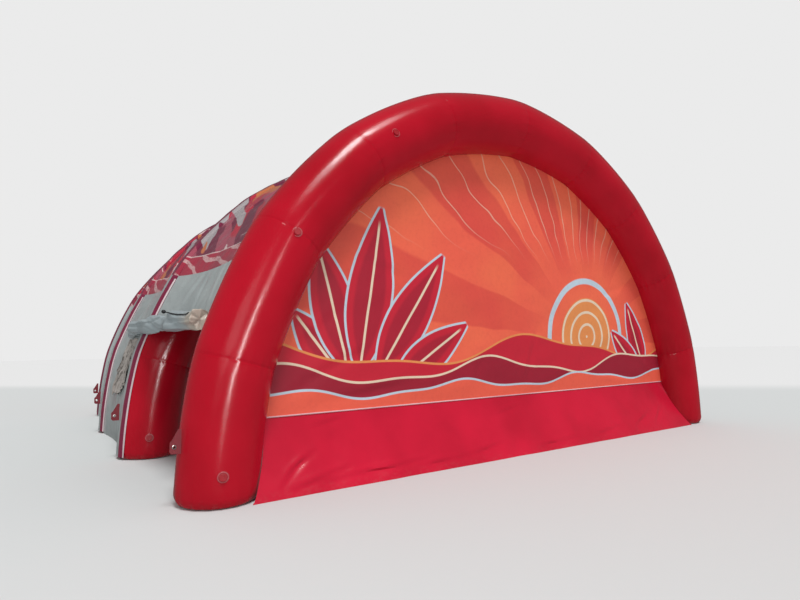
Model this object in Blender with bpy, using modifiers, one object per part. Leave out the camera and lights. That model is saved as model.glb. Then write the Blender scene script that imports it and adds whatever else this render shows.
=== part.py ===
"""Inflatable igloo tent: four air-filled arches, a printed canopy, two end walls and a rolled side door.

Units are metres and +Z is up. The origin lies on the ground under the middle of the tent. The front wall faces -Y
and the doorway is on the -X side, between the first and the second arch.

A place on an arch is given by two angles. The arch angle runs from the left foot (0) over the crown (90 degrees) to
the right foot (180 degrees). The tube angle runs round the tube from the front (0) over the outer side (90 degrees)
to the back (180 degrees) and the inner side (270 degrees).
"""
from dataclasses import dataclass
from math import asin, cos, pi, radians, sin, sqrt

import bmesh
import bpy
from mathutils import Matrix, Vector

TENT_NAME = "inflatable_igloo_tent"

# Arches
TUBE_RADIUS = 0.44
BAY_LENGTH = 3.28
FRONT_HALF_WIDTH = 4.56
FRONT_RISE = 5.00
INNER_RISE = 4.90
SECOND_HALF_WIDTH = 4.68
THIRD_HALF_WIDTH = 4.61
REAR_HALF_WIDTH = 4.34

# Arch angles, in degrees, of the rings that the tubes and the cloths share, from the left foot to the crown. One
# stands at the door head and one at the lower border of the printed canopy.
FOOT_ANGLES = (0.0, 1.5)
SIDE_ANGLES = (6.0, 11.5, 16.5, 21.5, 26.8)
PRINT_BORDER_ANGLE = 32.0
ROOF_STEPS = 10

# Rounded feet: height over the ground and share of the tube's radius
FOOT_ROUNDING = ((0.0, 0.80), (0.03, 0.92), (0.075, 0.98))

# Tube angles, in degrees, of the corners of a tube's section
TUBE_CORNERS = (0, 20, 39, 58, 74, 90, 106, 122, 141, 160, 180, 202.5, 225, 247.5, 270, 292.5, 315, 337.5)
FRONT_SEAM = 141.0
REAR_SEAM = 39.0
BAND_START = 58.0
BAND_END = 122.0
BAND_INSET = 0.5
BAND_FOOT_ANGLE = 0.4

# Cloths
SEAT_GAP = 0.0003
CLOTH = 0.003
CANOPY_SAG = 0.085
CANOPY_UNEVENNESS = 0.014
CANOPY_COLUMNS = (0.0, 0.25, 0.5, 0.75, 1.0)
JAMB_WIDTH = 0.16

# End walls
SKIRT_HEIGHT = 0.83
SKIRT_SPREAD = 0.425
SKIRT_COLUMNS = 30
SKIRT_FOLD_DEPTH = 0.014
SKIRT_CLEARANCE = 0.004
SKIRT_SEAM_GAP = 0.0015
SKIRT_CORNER_CUT = 0.12
WALL_COLUMNS = 10
WALL_CROWN = 0.05

# Rolled door flap, its places counted along the tent from the front arch
ROLL_SIDES = 12
ROLL_RADIUS = 0.118
ROLL_TALLNESS = 1.12
ROLL_START = 0.47
ROLL_BULKY_END = 3.5
ROLL_END = 5.40
ROLL_THINNING = 0.55
ROLL_HEIGHT_FRONT = 1.92
ROLL_HEIGHT_BACK = 1.96
ROLL_DROOP = 0.05
ROLL_CLEARANCE = 0.0006
ROLL_CLEARANCE_PAST_DOOR = 0.004

# Loose end of the flap, below the part of the roll in the second bay
FLAP_COLUMNS = 22
FLAP_ROWS = 6
FLAP_NEAR = 3.86
FLAP_FAR = 5.36
FLAP_LEAN = 0.45
FLAP_LOW = 0.90
FLAP_FOLDS = 5.5
FLAP_FOLD_LEAN = 2.3
FLAP_FOLD_DEPTH = 0.05
FLAP_CLEARANCE = 0.0024
FLAP_GAP_BELOW_ROLL = 0.012

# Tie on the roll: a cord that runs from the roll's front part to a toggle
TIE_RADIUS = 0.008
TIE_SIDE = 1
TIE_START = 0.82
TIE_END = 1.72
TIE_POINTS = 20
TIE_RISE_FROM = 0.7
TIE_GAP = 0.0008
TIE_STEP = 0.0001
TOGGLE_RADIUS = 0.026
TOGGLE_LENGTH = 0.06

# Tabs
TAB_REACH = 0.11
TAB_HEIGHT = 0.14
TAB_ROOT_RISE = 0.11
TAB_ROOT_WIDTH = 0.03
TAB_THICKNESS = 0.004
TAB_CHAMFER = 0.022
TAB_LIFT = 0.0004
EYELET_RADIUS = 0.014
EYELET_REACH = 0.066
EYELET_SIDES = 12
TABS = (
    # arch, tube angle of the root, height over the ground, side of the root that the tab lies on
    (0, 74.0, 0.63, -1.0),
    (1, 90.0, 0.64, 1.0),
    (2, 90.0, 0.64, 1.0),
    (3, 90.0, 0.64, 1.0),
)

# Valve patches: radius and height of a patch's profile, from its underside to the top of the cap
PATCH_PROFILE = ((0.0, 0.0), (0.062, 0.0), (0.060, 0.004), (0.034, 0.005), (0.031, 0.018), (0.0, 0.020))
PATCH_SIDES = 20
PATCH_GAP = 0.0006

ACROSS = Vector((0.0, 1.0, 0.0))


@dataclass(frozen=True)
class Finish:
    """Colour, roughness and metallic value of a material."""

    name: str
    color: tuple
    roughness: float
    metallic: float = 0.0


RED_PVC = Finish("red_pvc", (0.52, 0.008, 0.022), 0.26)
SALMON_CLOTH = Finish("salmon_print_cloth", (0.60, 0.10, 0.05), 0.45)
CRIMSON_CLOTH = Finish("crimson_skirt_cloth", (0.53, 0.006, 0.030), 0.38)
PLAIN_CLOTH = Finish("plain_orange_cloth", (0.60, 0.11, 0.055), 0.45)
CANOPY_PRINT = Finish("canopy_print_cloth", (0.42, 0.015, 0.05), 0.34)
SILVER_CLOTH = Finish("silver_grey_cloth", (0.44, 0.42, 0.39), 0.42)
BAND_CLOTH = Finish("dark_crimson_band", (0.30, 0.008, 0.035), 0.36)
FLAP_CLOTH = Finish("door_flap_cloth", (0.50, 0.47, 0.42), 0.50)
BLACK_CORD = Finish("black_cord", (0.02, 0.02, 0.022), 0.60)
TAB_WEBBING = Finish("tab_webbing", (0.36, 0.02, 0.03), 0.60)
VALVE_PLASTIC = Finish("valve_plastic", (0.55, 0.03, 0.04), 0.40)


@dataclass(frozen=True)
class Arch:
    """One air-filled arch: half an ellipse standing across the tent at y."""

    y: float
    half_width: float
    rise: float

    def centre(self, angle):
        """Point of the centre line at an arch angle in degrees."""
        turn = radians(angle)
        return Vector((-self.half_width * cos(turn), self.y, self.rise * sin(turn)))

    def outward(self, angle):
        """Unit vector that points out of the tent, square to the centre line."""
        turn = radians(angle)
        return Vector((-cos(turn) / self.half_width, 0.0, sin(turn) / self.rise)).normalized()

    def skin(self, angle, tube_angle, offset=0.0, share=1.0):
        """Point on the tube's surface, or offset above it, where the radius has the given share."""
        turn = radians(tube_angle)
        ray = self.outward(angle) * sin(turn) - ACROSS * cos(turn)
        return self.centre(angle) + ray * (TUBE_RADIUS * share + offset)


FRONT_Y = -1.5 * BAY_LENGTH
ARCHES = (
    Arch(FRONT_Y, FRONT_HALF_WIDTH, FRONT_RISE),
    Arch(FRONT_Y + BAY_LENGTH, SECOND_HALF_WIDTH, INNER_RISE),
    Arch(FRONT_Y + 2 * BAY_LENGTH, THIRD_HALF_WIDTH, INNER_RISE),
    Arch(FRONT_Y + 3 * BAY_LENGTH, REAR_HALF_WIDTH, INNER_RISE),
)
ARCH_NAMES = ("front", "second", "third", "rear")

ROOF_HALF = [PRINT_BORDER_ANGLE + (90.0 - PRINT_BORDER_ANGLE) * k / ROOF_STEPS for k in range(ROOF_STEPS + 1)]
LEFT_STATIONS = list(FOOT_ANGLES) + list(SIDE_ANGLES) + ROOF_HALF
STATIONS = LEFT_STATIONS + [180.0 - angle for angle in reversed(LEFT_STATIONS[:-1])]
DOOR_HEAD = STATIONS.index(SIDE_ANGLES[3])
BORDER = STATIONS.index(PRINT_BORDER_ANGLE)
LAST = len(STATIONS) - 1


def clear_scene():
    """Remove every object that the file opened with."""
    for old in list(bpy.data.objects):
        bpy.data.objects.remove(old, do_unlink=True)


def new_collection(name):
    """Make a collection in the scene."""
    bpy.context.scene.collection.children.link(bpy.data.collections.new(name))


def make_material(name, finish):
    """Principled material of one piece."""
    material = bpy.data.materials.new(name + "_" + finish.name)
    material.use_nodes = True
    shader = material.node_tree.nodes["Principled BSDF"]
    shader.inputs["Base Color"].default_value = (*finish.color, 1.0)
    shader.inputs["Roughness"].default_value = finish.roughness
    shader.inputs["Metallic"].default_value = finish.metallic
    return material


def add_object(name, mesh, finish, smooth_angle=40.0):
    """Link a mesh as a named piece with its own material."""
    piece = bpy.data.objects.new(name, mesh)
    bpy.data.collections[TENT_NAME].objects.link(piece)
    mesh.materials.append(make_material(name, finish))
    mesh.shade_smooth()
    mesh.set_sharp_from_angle(angle=radians(smooth_angle))
    return piece


def loft(name, rings, finish):
    """Closed solid through a row of rings with equal counts, with a flat cap at each end."""
    shell = bmesh.new()
    loops = [[shell.verts.new(point) for point in ring] for ring in rings]
    count = len(loops[0])
    for near, far in zip(loops, loops[1:]):
        for k in range(count):
            step = (k + 1) % count
            shell.faces.new((near[k], near[step], far[step], far[k]))
    shell.faces.new(loops[0])
    shell.faces.new(loops[-1])
    bmesh.ops.recalc_face_normals(shell, faces=shell.faces)
    mesh = bpy.data.meshes.new(name)
    shell.to_mesh(mesh)
    shell.free()
    return add_object(name, mesh, finish)


def sheet(name, rows, outside, finish, thickness=CLOTH):
    """Cloth over a grid of points. It thickens towards the side that outside points to."""
    surface = bmesh.new()
    grid = [[surface.verts.new(point) for point in row] for row in rows]
    for low, high in zip(grid, grid[1:]):
        if len(high) == 1:
            faces = [(a, b, high[0]) for a, b in zip(low, low[1:])]
        else:
            faces = [(a, b, d, c) for a, b, c, d in zip(low, low[1:], high, high[1:])]
        for corners in faces:
            surface.faces.new(corners)
    surface.normal_update()
    middle = max(surface.faces, key=lambda face: face.calc_area())
    if middle.normal.dot(outside(middle.calc_center_median())) < 0.0:
        bmesh.ops.reverse_faces(surface, faces=surface.faces)
    mesh = bpy.data.meshes.new(name)
    surface.to_mesh(mesh)
    surface.free()
    piece = add_object(name, mesh, finish)
    solidify = piece.modifiers.new("cloth_thickness", "SOLIDIFY")
    solidify.thickness = thickness
    solidify.offset = 1.0
    return piece


def from_tent_axis(point):
    """Direction from the tent's long axis on the ground to a point."""
    return Vector((point.x, 0.0, point.z))


def build_arches():
    """Four tubes, each swept along its half ellipse, drawn in at the feet."""
    for arch, name in zip(ARCHES, ARCH_NAMES):
        feet = [(180.0 / pi * asin(height / arch.rise), share) for height, share in FOOT_ROUNDING]
        places = feet + [(angle, 1.0) for angle in STATIONS[1:-1]]
        places += [(180.0 - angle, share) for angle, share in reversed(feet)]
        rings = [[arch.skin(angle, corner, share=share) for corner in TUBE_CORNERS] for angle, share in places]
        loft("arch_" + name, rings, RED_PVC)


def canopy_sag(station, across):
    """How far a canopy cloth hangs in from the straight line between its seams."""
    bow = 4.0 * across * (1.0 - across)
    return bow * (CANOPY_SAG + CANOPY_UNEVENNESS * sin(1.7 * station + 2.0 * across))


def seams(bay):
    """The arch and tube angle that hold the near and the far edge of a bay's cloth."""
    near = (ARCHES[bay], FRONT_SEAM if bay == 0 else BAND_END)
    far = (ARCHES[bay + 1], REAR_SEAM if bay == 2 else BAND_START)
    return near, far


def canopy_point(bay, station, across, drop=0.0):
    """Point on the inner face of a bay's cloth at a whole station, drop degrees lower on the arch."""
    (near_arch, near_seam), (far_arch, far_seam) = seams(bay)
    angle = STATIONS[station]
    angle += drop if angle > 90.0 else -drop
    near = near_arch.skin(angle, near_seam, SEAT_GAP)
    far = far_arch.skin(angle, far_seam, SEAT_GAP)
    inward = near_arch.outward(angle).lerp(far_arch.outward(angle), across)
    return near.lerp(far, across) - inward * canopy_sag(station, across)


def canopy_rows(bay, first, last, columns=CANOPY_COLUMNS, lower_edges=()):
    """Grid of a bay's cloth between two stations. Rows in lower_edges leave the seat gap to the next cloth."""
    gap_angle = 180.0 / pi * 2.0 * SEAT_GAP / INNER_RISE
    rows = []
    for station in range(first, last + 1):
        drop = gap_angle if station in lower_edges else 0.0
        rows.append([canopy_point(bay, station, across, drop) for across in columns])
    return rows


def build_canopy():
    """Printed roof cloths and grey side cloths of the three bays."""
    right_border = LAST - BORDER
    for bay in range(3):
        number = str(bay + 1)
        sheet("roof_bay_" + number, canopy_rows(bay, BORDER, right_border), from_tent_axis, CANOPY_PRINT)
        left_foot = DOOR_HEAD if bay == 0 else 0
        left = canopy_rows(bay, left_foot, BORDER, lower_edges=(BORDER,))
        sheet("side_left_" + number, left, from_tent_axis, SILVER_CLOTH)
        right = canopy_rows(bay, right_border, LAST, lower_edges=(right_border,))
        sheet("side_right_" + number, right, from_tent_axis, SILVER_CLOTH)


def build_door_jamb():
    """Narrow strip of cloth on the back of the front arch, beside the doorway."""
    width = JAMB_WIDTH / BAY_LENGTH
    rows = canopy_rows(0, 0, DOOR_HEAD, (0.0, 0.5 * width, width), lower_edges=(DOOR_HEAD,))
    sheet("door_jamb", rows, from_tent_axis, SILVER_CLOTH)


def build_cover_bands():
    """Crimson bands that lie on the outer side of the second and third arch."""
    corners = [BAND_START + BAND_INSET] + [a for a in TUBE_CORNERS if BAND_START < a < BAND_END]
    corners.append(BAND_END - BAND_INSET)
    for arch, name in zip(ARCHES[1:3], ARCH_NAMES[1:3]):
        ends = [BAND_FOOT_ANGLE, 180.0 - BAND_FOOT_ANGLE]
        angles = ends[:1] + STATIONS[1:-1] + ends[1:]
        rows = [[arch.skin(angle, corner, SEAT_GAP) for corner in corners] for angle in angles]
        sheet("cover_band_" + name, rows, from_tent_axis, BAND_CLOTH)


def edge_at_height(edge, height):
    """Point where a rising edge crosses a height."""
    for low, high in zip(edge, edge[1:]):
        if low.z <= height <= high.z:
            return low.lerp(high, (height - low.z) / (high.z - low.z))
    raise ValueError("the edge does not reach this height")


def build_end_wall(name, arch, facing, finish):
    """Upper cloth of an end wall, in the middle plane of its arch, crowned a little outwards."""
    edge = [arch.skin(angle, 270.0, SEAT_GAP) for angle in LEFT_STATIONS]
    edge = [edge_at_height(edge, SKIRT_HEIGHT)] + [point for point in edge if point.z > SKIRT_HEIGHT + 0.1]
    top = edge[-1].z
    rows = []
    for corner in edge[:-1]:
        rise = (corner.z - SKIRT_HEIGHT) / (top - SKIRT_HEIGHT)
        row = []
        for column in range(WALL_COLUMNS + 1):
            along = 2.0 * column / WALL_COLUMNS - 1.0
            crown = WALL_CROWN * (1.0 - along * along) * 4.0 * rise * (1.0 - rise)
            row.append(Vector((-corner.x * along, arch.y + facing * crown, corner.z)))
        rows.append(row)
    rows.append([Vector((0.0, arch.y, top))])
    sheet(name + "_panel", rows, lambda point: Vector((0.0, facing, 0.0)), finish)


def skirt_row(arch, facing, share):
    """Row of a skirt, from the seam (share 0) to the ground (share 1), shaped in soft folds."""
    height = (SKIRT_HEIGHT - SKIRT_SEAM_GAP) * (1.0 - share)
    angle = 180.0 / pi * asin(height / arch.rise)
    reach = SKIRT_SPREAD * (0.62 * share + 0.38 * share * share)
    tube_reach = TUBE_RADIUS / abs(arch.outward(angle).x)
    half = -arch.centre(angle).x - tube_reach * sqrt(1.0 - (reach / TUBE_RADIUS) ** 2) - SKIRT_CLEARANCE
    half -= SKIRT_CORNER_CUT * share ** 8
    row = []
    for column in range(SKIRT_COLUMNS + 1):
        along = 2.0 * column / SKIRT_COLUMNS - 1.0
        fold = sin(17.0 * along) + 0.7 * sin(29.0 * along + 1.0) + 0.6 * cos(43.0 * along)
        depth = SKIRT_FOLD_DEPTH * share * (1.0 - along ** 8)
        forward = reach - CLOTH + depth * (0.25 * fold - 0.5)
        row.append(Vector((half * along, arch.y + facing * forward, height)))
    return row


def build_skirt(name, arch, facing):
    """Red strip between an end wall's printed cloth and the ground."""
    rows = [skirt_row(arch, facing, share) for share in (1.0, 0.93, 0.8, 0.5, 0.25, 0.0)]
    sheet(name + "_skirt", rows, lambda point: Vector((0.0, facing, 0.0)), CRIMSON_CLOTH)


def outline_at(y, stations):
    """Outer face of the tent's skin, cut at y: a row of points, one for each station."""
    second = ARCHES[1]
    reach = TUBE_RADIUS * cos(radians(BAND_START))
    bay = 0 if y < second.y else 1
    points = []
    for station in stations:
        angle = STATIONS[station]
        if abs(y - second.y) > reach:
            row = [canopy_point(bay, station, across) for across in CANOPY_COLUMNS]
            low, high = next(pair for pair in zip(row, row[1:]) if pair[0].y - 1e-6 <= y <= pair[1].y + 1e-6)
            base = low.lerp(high, (y - low.y) / (high.y - low.y))
        else:
            height = sqrt(TUBE_RADIUS ** 2 - (y - second.y) ** 2) + SEAT_GAP
            base = second.centre(angle) + second.outward(angle) * height
            base.y = y
        points.append(base + second.outward(angle) * CLOTH)
    return points


def section_axes(low, high):
    """Unit vectors along a piece of outline and square to it, out of the tent."""
    up = (high - low).normalized()
    return up, Vector((-up.z, 0.0, up.x))


def lift_clear(ring, outline, clearance):
    """Move a ring outwards until its nearest point lies the clearance above the outline."""
    facets = [(low, section_axes(low, high)[1]) for low, high in zip(outline, outline[1:])]
    nearest = min(max((point - low).dot(out) for low, out in facets) for point in ring)
    return [point + facets[0][1] * (clearance - nearest) for point in ring]


def roll_places():
    """Lengthwise places of the roll's rings, counted from the front arch."""
    places = {ROLL_START, ROLL_END}
    for bay in (0, 1):
        row = [canopy_point(bay, DOOR_HEAD, across).y - FRONT_Y for across in CANOPY_COLUMNS]
        places.update(row)
        places.update(0.5 * (low + high) for low, high in zip(row, row[1:]))
    bends = (BAND_START + BAND_INSET, 74, 90, 106, BAND_END - BAND_INSET)
    places.update(BAY_LENGTH - TUBE_RADIUS * cos(radians(corner)) for corner in bends)
    return sorted(place for place in places if ROLL_START <= place <= ROLL_END)


def roll_size(place):
    """Radius of the roll and height of its centre over the ground at a lengthwise place."""
    past_second = max(0.0, place - ROLL_BULKY_END) / (ROLL_END - ROLL_BULKY_END)
    swell = 1.0 + 0.10 * sin(5.1 * place) + 0.07 * sin(11.3 * place + 1.0)
    radius = ROLL_RADIUS * swell * (1.0 - ROLL_THINNING * past_second)
    height = ROLL_HEIGHT_FRONT + (ROLL_HEIGHT_BACK - ROLL_HEIGHT_FRONT) * min(place / BAY_LENGTH, 1.0)
    return radius, height - ROLL_DROOP * past_second


def roll_ring(place):
    """Ring of the roll, lumpy as cloth bunched by hand, seated on the cloth or band behind it."""
    radius, height = roll_size(place)
    y = FRONT_Y + place
    outline = outline_at(y, range(DOOR_HEAD - 2, DOOR_HEAD + 2))
    base = edge_at_height(outline, height)
    up, out = section_axes(outline[1], outline[-1])
    ring = []
    for side in range(ROLL_SIDES):
        turn = 2.0 * pi * side / ROLL_SIDES
        lump = 1.0 + 0.11 * sin(3.0 * turn + 2.6 * place) + 0.07 * sin(5.0 * turn - 4.0 * place)
        ring.append(base + (out * cos(turn) + up * ROLL_TALLNESS * sin(turn)) * radius * lump)
    if place < BAY_LENGTH - TUBE_RADIUS * cos(radians(BAND_START)):
        return lift_clear(ring, outline[2:], ROLL_CLEARANCE)
    return lift_clear(ring, outline, ROLL_CLEARANCE_PAST_DOOR)


def build_door_roll():
    """Door flap, rolled up along the door head and carried on over the second arch."""
    loft("door_roll", [roll_ring(place) for place in roll_places()], FLAP_CLOTH)


def flap_point(across, share):
    """Point of the flap's loose end, from its front edge to its rear edge and from the bottom to the top."""
    drop = 1.0 - share
    near = FLAP_NEAR + FLAP_LEAN * drop ** 1.6
    far = FLAP_FAR + FLAP_LEAN * drop * (1.0 - 0.45 * drop ** 5.0)
    place = near + (far - near) * across
    radius, height = roll_size(place)
    top = height - ROLL_TALLNESS * radius * 1.1 - FLAP_GAP_BELOW_ROLL
    low = FLAP_LOW + 0.05 * sin(9.0 * across) + 0.25 * (0.5 - across)
    outline = outline_at(FRONT_Y + place, range(DOOR_HEAD + 1))
    base = edge_at_height(outline, low + (top - low) * share)
    out = section_axes(outline[2], outline[-1])[1]
    wave = 0.5 - 0.5 * cos(2.0 * pi * FLAP_FOLDS * across + FLAP_FOLD_LEAN * 2.0 * pi * share)
    depth = FLAP_FOLD_DEPTH * (0.75 + 0.25 * sin(7.0 * across + 5.0 * share))
    return base + out * (FLAP_CLEARANCE + depth * wave)


def build_flap_end():
    """Loose end of the flap: a wrinkled sheet that hangs below the roll, on the side cloth of the second bay."""
    rows = []
    for level in range(FLAP_ROWS + 1):
        rows.append([flap_point(column / FLAP_COLUMNS, level / FLAP_ROWS) for column in range(FLAP_COLUMNS + 1)])
    sheet("door_flap_end", rows, from_tent_axis, FLAP_CLOTH)


def curve_solid(name, curve, finish, matrix=None):
    """Turn a curve into a welded mesh piece."""
    guide = bpy.data.objects.new(name + "_guide", curve)
    bpy.data.collections[TENT_NAME].objects.link(guide)
    if matrix is not None:
        guide.matrix_world = matrix
    graph = bpy.context.evaluated_depsgraph_get()
    graph.update()
    mesh = bpy.data.meshes.new_from_object(guide.evaluated_get(graph))
    shell = bmesh.new()
    shell.from_mesh(mesh)
    bmesh.ops.remove_doubles(shell, verts=shell.verts, dist=0.00005)
    bmesh.ops.recalc_face_normals(shell, faces=shell.faces)
    shell.to_mesh(mesh)
    shell.free()
    mesh.materials.clear()
    place = guide.matrix_world.copy()
    bpy.data.objects.remove(guide, do_unlink=True)
    piece = add_object(name, mesh, finish)
    piece.matrix_world = place
    return piece


def gap_to_edge(point, start, end):
    """Distance from a point to a straight edge."""
    share = min(max((point - start).dot(end - start) / (end - start).length_squared, 0.0), 1.0)
    return (point - start.lerp(end, share)).length


def tie_point(place, radius):
    """Centre of a cord or toggle of this radius where it lies on the roll's outer upper side."""
    places = roll_places()
    near, far = next(pair for pair in zip(places, places[1:]) if pair[0] <= place <= pair[1])
    share = (place - near) / (far - near)
    ring = [low.lerp(high, share) for low, high in zip(roll_ring(near), roll_ring(far))]
    away = (ring[TIE_SIDE] - sum(ring, Vector()) / ROLL_SIDES).normalized()
    point = ring[TIE_SIDE] + away * radius
    sides = ring[:TIE_SIDE + 3]
    while min(gap_to_edge(point, *edge) for edge in zip(sides, sides[1:])) < radius + TIE_GAP:
        point += away * TIE_STEP
    return point


def tie_route():
    """Centre line of the tie: it lies along the roll and rises to the toggle's middle at its free end."""
    route = []
    for k in range(TIE_POINTS):
        share = k / (TIE_POINTS - 1)
        rise = max(0.0, (share - TIE_RISE_FROM) / (1.0 - TIE_RISE_FROM)) ** 2
        low = tie_point(TIE_START + (TIE_END - TIE_START) * share, TIE_RADIUS)
        high = tie_point(TIE_START + (TIE_END - TIE_START) * share, TOGGLE_RADIUS)
        route.append(low.lerp(high, rise))
    middle = [0.25 * (near + far) + 0.5 * point for near, point, far in zip(route, route[1:], route[2:])]
    return route[:1] + middle + route[-1:]


def build_tie():
    """Cord that holds the roll, with a toggle on its free end."""
    points = tie_route()
    curve = bpy.data.curves.new("tie_line", "CURVE")
    curve.dimensions = "3D"
    curve.bevel_depth = TIE_RADIUS
    curve.bevel_resolution = 2
    curve.use_fill_caps = True
    spline = curve.splines.new("POLY")
    spline.points.add(len(points) - 1)
    for point, place in zip(spline.points, points):
        point.co = (*place, 1.0)
    curve_solid("door_tie_cord", curve, BLACK_CORD)
    along = (points[-1] - points[-2]).normalized()
    toggle = bmesh.new()
    bmesh.ops.create_uvsphere(toggle, u_segments=10, v_segments=6, radius=TOGGLE_RADIUS)
    bmesh.ops.scale(toggle, verts=toggle.verts, vec=(1.0, 1.0, 0.5 * TOGGLE_LENGTH / TOGGLE_RADIUS))
    mesh = bpy.data.meshes.new("door_tie_toggle")
    toggle.to_mesh(mesh)
    toggle.free()
    piece = add_object("door_tie_toggle", mesh, BLACK_CORD)
    centre = points[-1] + along * (0.5 * TOGGLE_LENGTH + SEAT_GAP)
    piece.matrix_world = Matrix.Translation(centre) @ along.to_track_quat("Z", "Y").to_matrix().to_4x4()


def tab_outline(name):
    """Flat curve of a tab with its eyelet, the root on the curve's Y axis."""
    curve = bpy.data.curves.new(name, "CURVE")
    curve.dimensions = "2D"
    curve.fill_mode = "BOTH"
    curve.extrude = 0.5 * TAB_THICKNESS
    half = 0.5 * TAB_HEIGHT
    strap = ((0.0, -half), (TAB_REACH - TAB_CHAMFER, -half), (TAB_REACH, TAB_CHAMFER - half),
             (TAB_REACH, half - TAB_CHAMFER), (TAB_REACH - TAB_CHAMFER, half),
             (TAB_ROOT_WIDTH, half + TAB_ROOT_RISE), (0.0, half + TAB_ROOT_RISE))
    turns = [2.0 * pi * k / EYELET_SIDES for k in range(EYELET_SIDES)]
    eyelet = [(EYELET_REACH + EYELET_RADIUS * cos(turn), EYELET_RADIUS * sin(turn)) for turn in turns]
    for loop in (strap, eyelet):
        spline = curve.splines.new("POLY")
        spline.points.add(len(loop) - 1)
        for point, (reach, rise) in zip(spline.points, loop):
            point.co = (reach, rise, 0.0, 1.0)
        spline.use_cyclic_u = True
    return curve


def build_tabs():
    """Webbing tabs near the ground, each with one eyelet, standing out from the tubes."""
    for number, root_angle, height, side in TABS:
        arch = ARCHES[number]
        edge = [arch.skin(angle, root_angle) for angle in LEFT_STATIONS]
        low, high = next(pair for pair in zip(edge, edge[1:]) if pair[1].z > height)
        up, out = section_axes(low, high)
        band = SEAT_GAP + CLOTH if 0 < number < len(ARCHES) - 1 else 0.0
        root = low.lerp(high, (height - low.z) / (high.z - low.z))
        root += out * (band + TAB_LIFT) + ACROSS * side * 0.6 * TAB_THICKNESS
        for wing, sign in (("left", 1.0), ("right", -1.0)):
            mirror = Vector((sign, 1.0, 1.0))
            axes = (out * mirror, up * mirror)
            place = Matrix((*axes, axes[0].cross(axes[1]))).transposed().to_4x4()
            place.translation = root * mirror
            name = f"anchor_tab_{wing}_{number + 1}"
            curve_solid(name, tab_outline(name + "_outline"), TAB_WEBBING, place)


def build_valves():
    """Round valve patches, each on a flat facet of the front side of a tube."""
    table = (
        # arch, lower station of the facet
        (0, 1),
        (0, BORDER),
        (0, BORDER + 4),
        (1, 1),
    )
    for number, (which, station) in enumerate(table):
        arch = ARCHES[which]
        corners = [arch.skin(STATIONS[station + up], tube) for tube in TUBE_CORNERS[:2] for up in (0, 1)]
        along = (corners[1] - corners[0]).normalized()
        out = along.cross(corners[2] - corners[0]).normalized()
        place = Matrix((along.cross(out), along, out)).transposed().to_4x4()
        place.translation = sum(corners, Vector()) / len(corners) + out * PATCH_GAP
        patch = bmesh.new()
        line = [patch.verts.new((radius, 0.0, height)) for radius, height in PATCH_PROFILE]
        edges = [patch.edges.new(pair) for pair in zip(line, line[1:])]
        bmesh.ops.spin(patch, geom=line + edges, axis=(0.0, 0.0, 1.0), angle=2.0 * pi, steps=PATCH_SIDES,
                       use_merge=True)
        bmesh.ops.remove_doubles(patch, verts=patch.verts, dist=0.00005)
        bmesh.ops.recalc_face_normals(patch, faces=patch.faces)
        name = f"valve_patch_{number + 1}"
        mesh = bpy.data.meshes.new(name)
        patch.to_mesh(mesh)
        patch.free()
        add_object(name, mesh, VALVE_PLASTIC).matrix_world = place


def main():
    """Build every piece of the tent."""
    clear_scene()
    new_collection(TENT_NAME)
    build_arches()
    build_canopy()
    build_door_jamb()
    build_cover_bands()
    build_end_wall("front", ARCHES[0], -1.0, SALMON_CLOTH)
    build_end_wall("rear", ARCHES[3], 1.0, PLAIN_CLOTH)
    build_skirt("front", ARCHES[0], -1.0)
    build_skirt("rear", ARCHES[3], 1.0)
    build_door_roll()
    build_flap_end()
    build_tie()
    build_tabs()
    build_valves()


main()
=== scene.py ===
"""Looks of the inflatable igloo tent: glossy air tubes, a printed canopy, end walls, skirts and a rolled side door.

Units are metres and +Z is up. The front wall faces -Y and the doorway is on the -X side. A place on an arch is given
by two angles in degrees: the arch angle runs from the left foot (0) over the crown (90) to the right foot (180), and
the tube angle runs round the tube from the front (0) over the outer side (90) to the back (180) and the inner side.
"""

import logging
from dataclasses import dataclass, field
from enum import Enum
from math import cos, pi, radians, sin, tau

import bpy
import numpy as np
from mathutils import Matrix, Vector


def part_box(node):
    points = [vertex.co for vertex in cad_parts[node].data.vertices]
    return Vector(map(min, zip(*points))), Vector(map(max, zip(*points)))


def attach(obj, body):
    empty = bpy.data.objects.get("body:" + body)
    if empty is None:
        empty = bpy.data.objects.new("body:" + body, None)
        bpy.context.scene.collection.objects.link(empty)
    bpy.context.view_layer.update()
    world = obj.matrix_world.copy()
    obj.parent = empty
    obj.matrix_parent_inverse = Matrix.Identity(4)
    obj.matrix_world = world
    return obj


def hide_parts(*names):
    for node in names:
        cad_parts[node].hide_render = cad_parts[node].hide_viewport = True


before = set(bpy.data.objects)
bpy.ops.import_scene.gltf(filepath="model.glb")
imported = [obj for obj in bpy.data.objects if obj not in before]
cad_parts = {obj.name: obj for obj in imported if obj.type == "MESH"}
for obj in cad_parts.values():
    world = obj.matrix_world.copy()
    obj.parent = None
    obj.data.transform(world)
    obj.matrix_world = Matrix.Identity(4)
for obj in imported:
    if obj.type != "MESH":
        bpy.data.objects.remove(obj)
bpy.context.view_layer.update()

log = logging.getLogger("igloo_tent")

Colour = tuple[float, float, float]
Faces = list[np.ndarray]

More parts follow.
